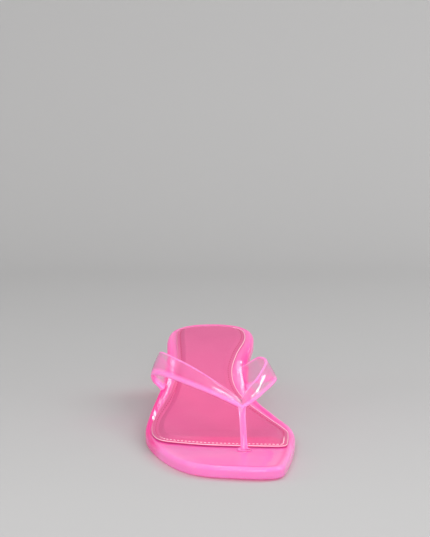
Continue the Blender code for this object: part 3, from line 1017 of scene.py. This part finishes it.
def insole_mesh(sizes):
    """Pad with a stitched border, a pressed groove and a puffed middle."""
    spread = Spread(INSOLE_OUTLINE, INSOLE_FRONT + PAD_SPINE_INSET, INSOLE_BACK - PAD_SPINE_INSET)
    radius = INSOLE_EDGE_RADIUS
    mesh = bmesh.new()

    def base(place):
        return bed_height(place.y) + CLEARANCE

    def top(place):
        return base(place) + lining_lift(spread.reach_at(place), place, sizes)

    rings = [
        spread.ring(mesh, radius, base),
        spread.ring(mesh, 0.0, lambda place: base(place) + radius / 2.0),
    ]
    for step in range(EDGE_STEPS):
        angle = math.radians(90.0 * step / EDGE_STEPS)
        rings.append(spread.ring(mesh, radius * (1.0 - math.cos(angle)), top))
    rings += spread.inner_rings(mesh, radius, PAD_STEP, PAD_REACH, PAD_RINGS, PAD_RING_POWER, top)
    skin_rings(mesh, rings)
    fill_ribs(mesh, rings[0], 1, base)
    fill_ribs(mesh, rings[-1], 2, top)
    return mesh


def paint_insole(piece):
    """Marks the painted light on the front of the pad."""
    paint(piece, PAINTED_FRONT_LIGHT, lambda place: 1.0 - smooth_share(place.y - INSOLE_FRONT, *FRONT_LIGHT_FADE))


def inset_line(inset, spacing):
    """Evenly spaced places along the insole at an inset from its edge, with the way the edge runs."""
    line = [point + direction * inset for point, direction in zip(*INSOLE_OUTLINE)]
    line.append(line[0])
    total = sum((end - start).length for start, end in zip(line, line[1:]))
    count = round(total / spacing)
    step = total / count
    places = []
    travelled = 0.0
    wanted = step / 2.0
    for start, end in zip(line, line[1:]):
        length = (end - start).length
        while wanted <= travelled + length and len(places) < count:
            share = (wanted - travelled) / length
            places.append((start.lerp(end, share), (end - start).normalized()))
            wanted += step
        travelled += length
    return places


def stitch_mesh(sizes):
    """One thread stitch for each step of the border, a little slanted and sunk at both ends."""
    mesh = bmesh.new()
    half = sizes.stitch_length / 2.0
    pitch = sizes.stitch_length + sizes.stitch_gap
    cosine = math.cos(STITCH_SLANT)
    sine = math.sin(STITCH_SLANT)
    for point, direction in inset_line(sizes.stitch_inset, pitch):
        turned = Vector((
            direction.x * cosine - direction.y * sine,
            direction.x * sine + direction.y * cosine,
        ))
        ends = [point - turned * half, point + turned * half]
        heights = [bed_height(end.y) for end in ends]
        run = Vector((ends[1].x - ends[0].x, ends[1].y - ends[0].y, heights[1] - heights[0])).normalized()
        lift = CLEARANCE + lining_lift(sizes.stitch_inset, point, sizes)
        centre = Vector((point.x, point.y, (heights[0] + heights[1]) / 2.0 + lift))
        side = Vector((-turned.y, turned.x, 0.0))
        up = run.cross(side).normalized()
        up = -up if up.z < 0.0 else up
        rings = []
        for step in range(THREAD_STEPS + 1):
            angle = math.pi * (step / THREAD_STEPS - 0.5)
            spot = centre + run * (half * math.sin(angle))
            bow = math.cos(angle)
            reach = sizes.thread_radius * max(THREAD_END_SHARE, bow ** 0.5)
            middle = spot + up * (sizes.thread_radius * (bow - THREAD_SINK_SHARE))
            offsets = [side * (reach * x) + up * (reach * y) for x, y in circle(THREAD_SIDES)]
            rings.append([mesh.verts.new(middle + offset) for offset in offsets])
        skin_rings(mesh, rings)
        mesh.faces.new(rings[0])
        mesh.faces.new(rings[-1])
    return mesh


def edge_mesh(sizes):
    """Thin rounded cut edge of the lining, round the top of the insole's side."""
    radius = sizes.edge_radius
    sunk = sizes.border_roll + radius * CUT_EDGE_SINK_SHARE
    mesh = bmesh.new()
    rings = []
    for point, direction in zip(*INSOLE_OUTLINE):
        middle = point + direction * (radius * CUT_EDGE_INSET_SHARE)
        height = bed_height(middle.y) + CLEARANCE + INSOLE_BORDER - sunk
        ring = []
        for cosine, sine in circle(THREAD_SIDES):
            place = middle - direction * (radius * cosine)
            ring.append(mesh.verts.new((place.x, place.y, height + radius * sine)))
        rings.append(ring)
    skin_rings(mesh, rings + rings[:1])
    return mesh


# Materials


class Value:
    """A number that varies over a surface; sums, differences and products of it add Math nodes."""

    def __init__(self, surface, socket):
        self.surface = surface
        self.socket = socket

    def join(self, operation, first, second):
        """A Math node on two numbers or values."""
        node = self.surface.node("ShaderNodeMath", {"operation": operation}, {0: first, 1: second})
        return Value(self.surface, node.outputs[0])

    def __add__(self, other):
        return self.join("ADD", self, other)

    __radd__ = __add__

    def __mul__(self, other):
        return self.join("MULTIPLY", self, other)

    __rmul__ = __mul__

    def __sub__(self, other):
        return self.join("SUBTRACT", self, other)

    def __rsub__(self, other):
        return self.join("SUBTRACT", other, self)


class Surface:
    """A material and the nodes that make it."""

    def __init__(self, name):
        self.material = bpy.data.materials.new(name)
        self.material.use_nodes = True
        self.tree = self.material.node_tree
        self.shader = self.tree.nodes["Principled BSDF"]
        self.output = self.tree.nodes["Material Output"]

    def node(self, kind, settings=None, sockets=None):
        """A node of any kind: its settings first, then the values or links of its sockets."""
        node = self.tree.nodes.new(kind)
        for name, value in (settings or {}).items():
            if name == "stops":
                while len(node.color_ramp.elements) < len(value):
                    node.color_ramp.elements.new(1.0)
                for element, (position, colour) in zip(node.color_ramp.elements, value):
                    element.position = position
                    element.color = (*colour, 1.0)
            else:
                setattr(node, name, value)
        for key, value in (sockets or {}).items():
            self.feed(node.inputs[key], value)
        return node

    def feed(self, socket, value):
        """Links a value or socket to a socket, or sets its number or colour."""
        if isinstance(value, Value):
            self.tree.links.new(value.socket, socket)
        elif isinstance(value, bpy.types.NodeSocket):
            self.tree.links.new(value, socket)
        elif socket.type == "RGBA":
            socket.default_value = (*value, 1.0)
        else:
            socket.default_value = value

    def value(self, kind, settings=None, sockets=None, output=0):
        """One output of a new node, as a number to reckon with."""
        return Value(self, self.node(kind, settings, sockets).outputs[output])

    def place(self):
        """Coordinates on the shoe, in metres."""
        return self.node("ShaderNodeTexCoord").outputs["Object"]

    def painted(self, layer):
        """Number painted on the mesh."""
        return self.value("ShaderNodeAttribute", {"attribute_name": layer}, None, "Fac")

    def noise(self, scale, detail):
        """Uneven streaks or grain, from 0 to 1."""
        sockets = {"Scale": scale, "Detail": detail, "Vector": self.place()}
        return self.value("ShaderNodeTexNoise", None, sockets)

    def ramp(self, axis, start, end, place=None):
        """Rises from 0 to 1 between two places along an axis, of the shoe where place isn't given."""
        along = self.value("ShaderNodeSeparateXYZ", None, {"Vector": place or self.place()}, axis)
        return self.value("ShaderNodeMapRange", None, {"Value": along, "From Min": start, "From Max": end})

    def blend(self, factor, first, second):
        """A colour between two others."""
        node = self.node("ShaderNodeMix", {"data_type": "RGBA"}, {0: factor, 6: first, 7: second})
        return node.outputs[2]

    def mix(self, factor, first, second):
        """One shader turning into another."""
        return self.node("ShaderNodeMixShader", None, {0: factor, 1: first.outputs[0], 2: second.outputs[0]})

    def bump(self, height, strength, distance):
        """A fine relief, as a Normal."""
        sockets = {"Strength": strength, "Distance": distance, "Height": height}
        return self.node("ShaderNodeBump", None, sockets).outputs[0]

    def finish(self, **sockets):
        """Feeds the sockets of the main shader by their names."""
        for name, value in sockets.items():
            self.feed(self.shader.inputs[name.replace("_", " ")], value)
        return self.material


def jelly_surface(name, colours, cast, milkiness, edge_milkiness, density, spread):
    """Clear pink PVC: glossy and see-through, with milk, a painted glow and deeper colour through its depth,
    painted deeper still as shade on the sole's outer rim.

    The milk lies at the skin that faces outwards, and light from lamps passes tinted by cast.
    """
    surface = Surface(name)
    gathered = surface.painted(GLOW)
    deep_and_shade = surface.painted(DEPTH_AND_SHADE)
    inside = surface.value("ShaderNodeNewGeometry", None, None, "Backfacing")
    lamp_light = surface.value("ShaderNodeLightPath", None, None, "Is Shadow Ray")
    flow = surface.noise(38.0, 2.0)
    fine = surface.noise(420.0, 1.0)
    roughness = 0.035 + fine * 0.035
    normal = surface.bump(flow + fine * 0.04, 0.2, 0.001)
    surface.finish(
        Base_Color=surface.blend(flow, colours.clear, colours.clear_shade),
        Roughness=roughness,
        Normal=normal,
        IOR=PVC_IOR,
        Transmission_Weight=1.0,
    )
    milk = surface.blend(flow, colours.milky, colours.milky_shade)
    # Milk painted brighter where the glow is painted, and deep pink with painted shade where the deep layer
    # is set
    milk = surface.blend(deep_and_shade, surface.blend(gathered, milk, colours.edge_light), colours.deep_and_shade)
    milky = surface.node(
        "ShaderNodeBsdfPrincipled",
        None,
        {
            "Base Color": milk,
            "Roughness": roughness,
            "Normal": normal,
            "IOR": PVC_IOR,
            "Subsurface Weight": 1.0,
            "Subsurface Radius": (1.0, 0.5, 0.8),
            "Subsurface Scale": spread,
            # Painted glow as emission, less where the sole is painted deep
            "Emission Color": surface.blend(gathered * (1.0 - deep_and_shade), colours.glow, colours.edge_glow),
            "Emission Strength": 1.0,
        },
    )
    # More milk where the glow is painted
    share = (milkiness + gathered * (edge_milkiness - milkiness)) * (1.0 - inside)
    body = surface.mix(share, surface.shader, milky)
    passing = surface.node("ShaderNodeBsdfTransparent", None, {"Color": cast})
    mixed = surface.mix(lamp_light, body, passing)
    surface.tree.links.new(mixed.outputs[0], surface.output.inputs["Surface"])
    sockets = {"Color": colours.depth, "Density": density}
    depth = surface.node("ShaderNodeVolumeAbsorption", None, sockets)
    surface.tree.links.new(depth.outputs[0], surface.output.inputs["Volume"])
    return surface.material


def lining_surface(colours):
    """Padded leatherette: fine pebbled grain, soft sheen, a little mottled, and painted lighter at its front.
    """
    surface = Surface("pink_padded_lining")
    cells = surface.value(
        "ShaderNodeTexVoronoi",
        {"feature": "SMOOTH_F1"},
        {"Scale": 1250.0, "Smoothness": 0.6, "Vector": surface.place()},
    )
    pores = surface.noise(2600.0, 2.0)
    mottle = surface.noise(55.0, 3.0)
    lining = surface.blend(mottle, colours.lining, colours.lining_shade)
    surface.finish(
        Base_Color=surface.blend(surface.painted(PAINTED_FRONT_LIGHT), lining, colours.lining_front_lit),
        Roughness=0.46 + cells * 0.14 + mottle * 0.06,
        Normal=surface.bump(cells + pores * 0.3, 0.22, 0.00012),
        Specular_IOR_Level=0.5,
        Coat_Weight=0.06,
        Coat_Roughness=0.25,
    )
    return surface.material


def thread_surface(colours):
    """Twisted thread: pale at the front of the insole, and painted with shade elsewhere, as dark as shadowed
    needle holes.
    """
    surface = Surface("pale_pink_thread")
    twist = surface.value(
        "ShaderNodeTexWave",
        {"bands_direction": "DIAGONAL"},
        {"Scale": 900.0, "Distortion": 1.5, "Vector": surface.place()},
        1,
    )
    pale = surface.blend(0.4 + twist * 0.6, colours.lining_front_lit, colours.thread)
    surface.finish(
        # Painted shade on the stitches behind the front
        Base_Color=surface.blend(1.0 - surface.ramp("Y", *THREAD_FRONT), colours.thread_painted_shade, pale),
        Roughness=0.55 + twist * 0.15,
        Normal=surface.bump(twist, 0.4, 0.00005),
    )
    return surface.material


def edge_surface(colours):
    """Cut edge of the lining: glossy, with a painted highlight on the inner side and at the front, and
    painted shade elsewhere.
    """
    surface = Surface("pale_cut_edge")
    grain = surface.noise(900.0, 2.0)
    # Painted highlight on the inner side and at the front, painted shade elsewhere
    pale = surface.ramp("X", *CUT_EDGE_INNER)
    pale = pale + (1.0 - pale) * (1.0 - surface.ramp("Y", *CUT_EDGE_FRONT))
    surface.finish(
        Base_Color=surface.blend(pale, colours.edge_painted_shade, colours.edge),
        Roughness=0.20 + grain * 0.1,
        Normal=surface.bump(grain, 0.2, 0.00005),
        Coat_Weight=0.6,
    )
    return surface.material


def rubber_surface(colours):
    """Matt pink rubber, a little mottled."""
    surface = Surface("pink_heel_rubber")
    grain = surface.noise(1500.0, 3.0)
    surface.finish(
        Base_Color=surface.blend(grain, colours.rubber, colours.rubber_shade),
        Roughness=0.45 + grain * 0.2,
        Normal=surface.bump(grain, 0.35, 0.0001),
    )
    return surface.material


def floor_surface(stage):
    """Pale seamless paper with painted shading: lighter towards the camera, a little darker where it starts
    to rise.
    """
    surface = Surface("pale_studio_paper")
    position = surface.node("ShaderNodeNewGeometry").outputs["Position"]
    # Painted shading of the paper by its place
    stops = [(share, (level, level, level)) for share, level in PAPER_LEVELS]
    depth = surface.ramp("Y", *PAPER_SPAN, position)
    shade = surface.node("ShaderNodeValToRGB", {"stops": stops}, {0: depth})
    surface.finish(
        Base_Color=surface.blend(PAPER_TINT_SHARE, shade.outputs[0], stage.paper),
        Roughness=0.9,
        Specular_IOR_Level=0.1,
    )
    return surface.material


# Settings


def length_property(name, default, description):
    """A size in metres."""
    return FloatProperty(
        name=name,
        description=description,
        default=default,
        min=0.0,
        unit="LENGTH",
        subtype="DISTANCE",
        precision=5,
    )


def colour_property(name, default, description):
    """A colour in linear light."""
    return FloatVectorProperty(
        name=name,
        description=description,
        default=default,
        size=3,
        min=0.0,
        max=1.0,
        subtype="COLOR",
    )


class SandalSizes(bpy.types.PropertyGroup):
    """Sizes of the finish: rim, strap, border, padding, stitches and tip"""

    strap_wall: length_property("Strap wall", 0.0021, "Thickness of the strap")
    top_edge_radius: length_property("Top edge radius", 0.0028, "Rounding of the sole's top edge")
    crown_height: length_property("Crown height", 0.00026, "Rise of the bare rim beside the insole")
    crown_width: length_property("Crown width", 0.0038, "Half width of the crowned rim")
    crown_inset: length_property("Crown inset", 0.0062, "Middle of the crown, from the sole's edge")
    root_flare: FloatProperty(
        name="Root flare",
        description="How much thicker the strap is where it meets the sole",
        default=1.45,
        min=1.0,
        max=1.5,
        subtype="FACTOR",
    )
    outer_border_width: length_property("Outer border width", 0.0044, "Stitched border on the outer side")
    inner_border_width: length_property("Inner border width", 0.0036, "Stitched border on the inner side")
    front_border_width: length_property("Front border width", 0.0046, "Stitched border at the front")
    border_roll: length_property("Border roll", 0.0004, "How far the border rolls down to its edge")
    groove_depth: length_property("Groove depth", 0.0004, "Depth of the pressed line inside the border")
    groove_width: length_property("Groove width", 0.0007, "Half width of the pressed line")
    puff_height: length_property("Puff height", 0.0014, "Rise of the padding above the border")
    puff_width: length_property("Puff width", 0.0040, "Distance over which the padding rises at the sides")
    front_puff_width: length_property("Front puff width", 0.0090, "Distance over which it rises at the front")
    stitch_inset: length_property("Stitch inset", 0.0026, "Distance of the stitches from the insole's edge")
    stitch_length: length_property("Stitch length", 0.0017, "Length of one stitch")
    stitch_gap: length_property("Stitch gap", 0.0008, "Space between two stitches")
    stitch_sink: length_property("Stitch sink", 0.00018, "How far the thread pulls the border down")
    stitch_width: length_property("Stitch channel", 0.0005, "Half width of the pulled-down line")
    thread_radius: length_property("Thread radius", 0.00036, "Radius of the thread")
    edge_radius: length_property("Edge radius", 0.00024, "Radius of the lining's cut edge")
    tip_edge_radius: length_property("Tip edge radius", 0.0006, "Rounding of the heel tip")


class SandalColours(bpy.types.PropertyGroup):
    """Colours of the PVC, the lining, the thread and the heel tip"""

    clear: colour_property("Clear", (1.0, 0.92, 0.98), "Light that passes the skin of the PVC")
    clear_shade: colour_property("Clear shade", (1.0, 0.88, 0.96), "The same in its denser streaks")
    milky: colour_property("Milky", (0.88, 0.25, 0.55), "Milk in the PVC")
    milky_shade: colour_property("Milky shade", (0.85, 0.22, 0.51), "Milk in its denser streaks")
    # Painted glow: emission over all the PVC
    glow: colour_property("Glow", (0.26, 0.012, 0.145), "Light that the PVC gives back")
    # Deep pink, painted also as shade on the sole's outer rim
    deep_and_shade: colour_property("Deep", (0.77, 0.020, 0.205), "Milk where the sole looks deepest")
    # Milk painted brighter at edges, as if light gathered there
    edge_light: colour_property("Edge light", (1.0, 0.27, 0.62), "Milk where light gathers at edges")
    # Painted glow: emission at edges
    edge_glow: colour_property("Edge glow", (0.12, 0.02, 0.06), "Light gathered at edges")
    sole_cast: colour_property("Sole cast", (0.93, 0.35, 0.55), "Lamp light past each skin of the sole")
    strap_cast: colour_property("Strap cast", (0.90, 0.74, 0.82), "Lamp light past each skin of the strap")
    depth: colour_property("Depth", (1.0, 0.20, 0.60), "Colour that builds up through the PVC")
    lining: colour_property("Lining", (0.605, 0.088, 0.245), "Insole lining")
    lining_shade: colour_property("Lining shade", (0.55, 0.077, 0.222), "Mottling of the lining")
    # Painted lighter colour of the pad's front, as if lit from the front; the thread mixes it in too
    lining_front_lit: colour_property("Lining front", (0.65, 0.070, 0.225), "Turned-down front of the pad")
    thread: colour_property("Thread", (1.0, 0.80, 0.86), "Stitches")
    # Painted shade of the stitches at the sides and the heel
    thread_painted_shade: colour_property("Thread shade", (0.52, 0.060, 0.175), "Stitches at the sides and the heel")
    # Cut edge as a painted highlight, on the inner side and at the front
    edge: colour_property("Edge", (1.0, 0.62, 0.72), "Cut edge of the lining")
    # Painted shade of the cut edge on its outer side
    edge_painted_shade: colour_property("Edge shade", (0.74, 0.20, 0.36), "Cut edge at the outer side of the heel")
    rubber: colour_property("Rubber", (0.70, 0.08, 0.33), "Heel tip")
    rubber_shade: colour_property("Rubber shade", (0.58, 0.06, 0.27), "Mottling of the heel tip")


class SandalStage(bpy.types.PropertyGroup):
    """Paper, camera and room light"""

    paper: colour_property("Paper", (0.55, 0.50, 0.48), "Faint tint of the studio paper")
    camera_distance: length_property("Camera distance", 1.1789, "Camera in front of the shoe's middle")
    camera_height: length_property("Camera height", 0.30144, "Height of the camera above the floor")
    camera_side: FloatProperty(
        name="Camera side",
        description="Camera beside the shoe's middle",
        default=-0.00315,
        unit="LENGTH",
    )
    camera_pitch: FloatProperty(
        name="Camera pitch",
        description="Tilt of the camera below the horizon",
        default=math.radians(9.33),
        unit="ROTATION",
        subtype="ANGLE",
    )
    camera_lens: FloatProperty(
        name="Camera lens",
        description="Focal length in millimetres",
        default=154.88,
        unit="CAMERA",
    )
    room_light: FloatProperty(
        name="Room light",
        description="Strength of the even light from all round",
        default=0.45,
        min=0.0,
    )


# Pieces


class SANDAL_OT_sole(bpy.types.Operator):
    """Build the moulded sole with its heel"""

    bl_idname = "sandal.sole"
    bl_label = "Sole"

    def execute(self, context):
        scene = context.scene
        colours = scene.sandal_colours
        surface = jelly_surface("clear_pink_sole", colours, colours.sole_cast, **SOLE_JELLY)
        piece = add_piece("moulded_sole", sole_mesh(scene.sandal_sizes), surface)
        join_bodies(piece, [heel_mesh()])
        paint_sole(piece)
        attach(piece, BODY)
        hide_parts("sole")
        return {"FINISHED"}


class SANDAL_OT_heel_tip(bpy.types.Operator):
    """Build the rubber tip under the heel"""

    bl_idname = "sandal.heel_tip"
    bl_label = "Heel tip"

    def execute(self, context):
        scene = context.scene
        surface = rubber_surface(scene.sandal_colours)
        piece = add_piece("rubber_heel_tip", heel_tip_mesh(scene.sandal_sizes), surface)
        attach(piece, BODY)
        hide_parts("heel_tip")
        return {"FINISHED"}


class SANDAL_OT_upper(bpy.types.Operator):
    """Build the V strap with its toe post"""

    bl_idname = "sandal.upper"
    bl_label = "Upper"

    def execute(self, context):
        scene = context.scene
        colours = scene.sandal_colours
        surface = jelly_surface("clear_pink_strap", colours, colours.strap_cast, **STRAP_JELLY)
        piece = add_piece("moulded_upper", strap_mesh(scene.sandal_sizes), surface)
        join_bodies(piece, [post_mesh(), post_foot_mesh()])
        paint_post(piece)
        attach(piece, BODY)
        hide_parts("upper")
        return {"FINISHED"}


class SANDAL_OT_insole(bpy.types.Operator):
    """Build the padded insole with its cut edge"""

    bl_idname = "sandal.insole"
    bl_label = "Insole"

    def execute(self, context):
        scene = context.scene
        sizes = scene.sandal_sizes
        colours = scene.sandal_colours
        piece = add_piece("padded_insole", insole_mesh(sizes), lining_surface(colours))
        paint_insole(piece)
        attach(piece, BODY)
        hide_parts("insole")
        edge = add_piece("insole_edge", edge_mesh(sizes), edge_surface(colours))
        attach(edge, BODY)
        return {"FINISHED"}


class SANDAL_OT_stitches(bpy.types.Operator):
    """Sew the stitches round the border of the insole"""

    bl_idname = "sandal.stitches"
    bl_label = "Stitches"

    def execute(self, context):
        scene = context.scene
        surface = thread_surface(scene.sandal_colours)
        piece = add_piece("insole_stitches", stitch_mesh(scene.sandal_sizes), surface)
        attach(piece, BODY)
        return {"FINISHED"}


def soft_box(name, azimuth, elevation, distance, size, radiance):
    """Rectangular light in a direction from the shoe, given by its size and the brightness of its face.

    Azimuth 0 is behind the shoe and 90 on its inner side; both angles are in degrees.
    """
    turn = math.radians(azimuth)
    rise = math.radians(elevation)
    away = Vector((math.sin(turn) * math.cos(rise), math.cos(turn) * math.cos(rise), math.sin(rise)))
    light = bpy.data.lights.new(name, "AREA")
    light.shape = "RECTANGLE"
    light.size, light.size_y = size
    light.energy = radiance * math.pi * size[0] * size[1]
    lamp = bpy.data.objects.new(name, light)
    lamp.location = LIGHT_TARGET + away * distance
    lamp.rotation_euler = (-away).to_track_quat("-Z", "Y").to_euler()
    bpy.context.scene.collection.objects.link(lamp)
    return lamp


def sweep_mesh():
    """Seamless paper: floor, curve and wall."""
    profile = [Vector((SWEEP_FRONT, 0.0)), Vector((0.0, 0.0))]
    for step in range(SWEEP_STEPS + 1):
        angle = math.radians(90.0 * step / SWEEP_STEPS)
        along = SWEEP_START + SWEEP_RADIUS * math.sin(angle)
        profile.append(Vector((along, SWEEP_RADIUS * (1.0 - math.cos(angle)))))
    profile.append(Vector((SWEEP_START + SWEEP_RADIUS, SWEEP_HEIGHT)))
    mesh = bmesh.new()
    rows = []
    for side in (-SWEEP_HALF_WIDTH, SWEEP_HALF_WIDTH):
        rows.append([mesh.verts.new((side, point.x, point.y)) for point in profile])
    for index in range(len(profile) - 1):
        mesh.faces.new((rows[0][index], rows[1][index], rows[1][index + 1], rows[0][index + 1]))
    return mesh


class SANDAL_OT_stage(bpy.types.Operator):
    """Set up the paper, the lights and the camera"""

    bl_idname = "sandal.stage"
    bl_label = "Stage"

    def execute(self, context):
        scene = context.scene
        stage = scene.sandal_stage
        data = bpy.data.meshes.new("studio_paper")
        mesh = sweep_mesh()
        mesh.to_mesh(data)
        mesh.free()
        data.materials.append(floor_surface(stage))
        data.shade_smooth()
        paper = bpy.data.objects.new("studio_paper", data)
        scene.collection.objects.link(paper)

        for row in WINDOW_ROWS:
            soft_box(*row).data.color = WINDOW_TINT
        for row in LAMP_ROWS:
            soft_box(*row)

        world = bpy.data.worlds.new("studio")
        world.use_nodes = True
        background = world.node_tree.nodes["Background"]
        background.inputs["Color"].default_value = (1.0, 1.0, 1.0, 1.0)
        background.inputs["Strength"].default_value = stage.room_light
        scene.world = world
        scene.view_settings.view_transform = "Standard"

        lens = bpy.data.cameras.new("camera")
        lens.sensor_fit = "HORIZONTAL"
        lens.sensor_width = 36.0
        lens.lens = stage.camera_lens
        camera = bpy.data.objects.new("camera", lens)
        camera.location = (stage.camera_side, -stage.camera_distance, stage.camera_height)
        camera.rotation_euler = (math.radians(90.0) - stage.camera_pitch, 0.0, 0.0)
        scene.collection.objects.link(camera)
        scene.camera = camera
        return {"FINISHED"}


class SANDAL_PT_panel(bpy.types.Panel):
    """Lists the pieces of the sandal and the stage"""

    bl_idname = "SANDAL_PT_panel"
    bl_label = "Jelly Sandal"
    bl_space_type = "VIEW_3D"
    bl_region_type = "UI"
    bl_category = "Sandal"

    def draw(self, context):
        scene = context.scene
        for group in (scene.sandal_sizes, scene.sandal_colours, scene.sandal_stage):
            box = self.layout.box()
            for name in group.__annotations__:
                box.prop(group, name)
        for operator in PIECES:
            self.layout.operator(operator.bl_idname)


SETTINGS = {
    "sandal_sizes": SandalSizes,
    "sandal_colours": SandalColours,
    "sandal_stage": SandalStage,
}
PIECES = (
    SANDAL_OT_stage,
    SANDAL_OT_sole,
    SANDAL_OT_heel_tip,
    SANDAL_OT_upper,
    SANDAL_OT_insole,
    SANDAL_OT_stitches,
)


def register():
    for group in SETTINGS.values():
        bpy.utils.register_class(group)
    for name, group in SETTINGS.items():
        setattr(bpy.types.Scene, name, PointerProperty(type=group))
    for operator in PIECES:
        bpy.utils.register_class(operator)
    bpy.utils.register_class(SANDAL_PT_panel)


def unregister():
    bpy.utils.unregister_class(SANDAL_PT_panel)
    for operator in reversed(PIECES):
        bpy.utils.unregister_class(operator)
    for name in SETTINGS:
        delattr(bpy.types.Scene, name)
    for group in reversed(SETTINGS.values()):
        bpy.utils.unregister_class(group)


def main():
    register()
    for operator in PIECES:
        section, name = operator.bl_idname.split(".")
        getattr(getattr(bpy.ops, section), name)()


if __name__ == "__main__":
    main()
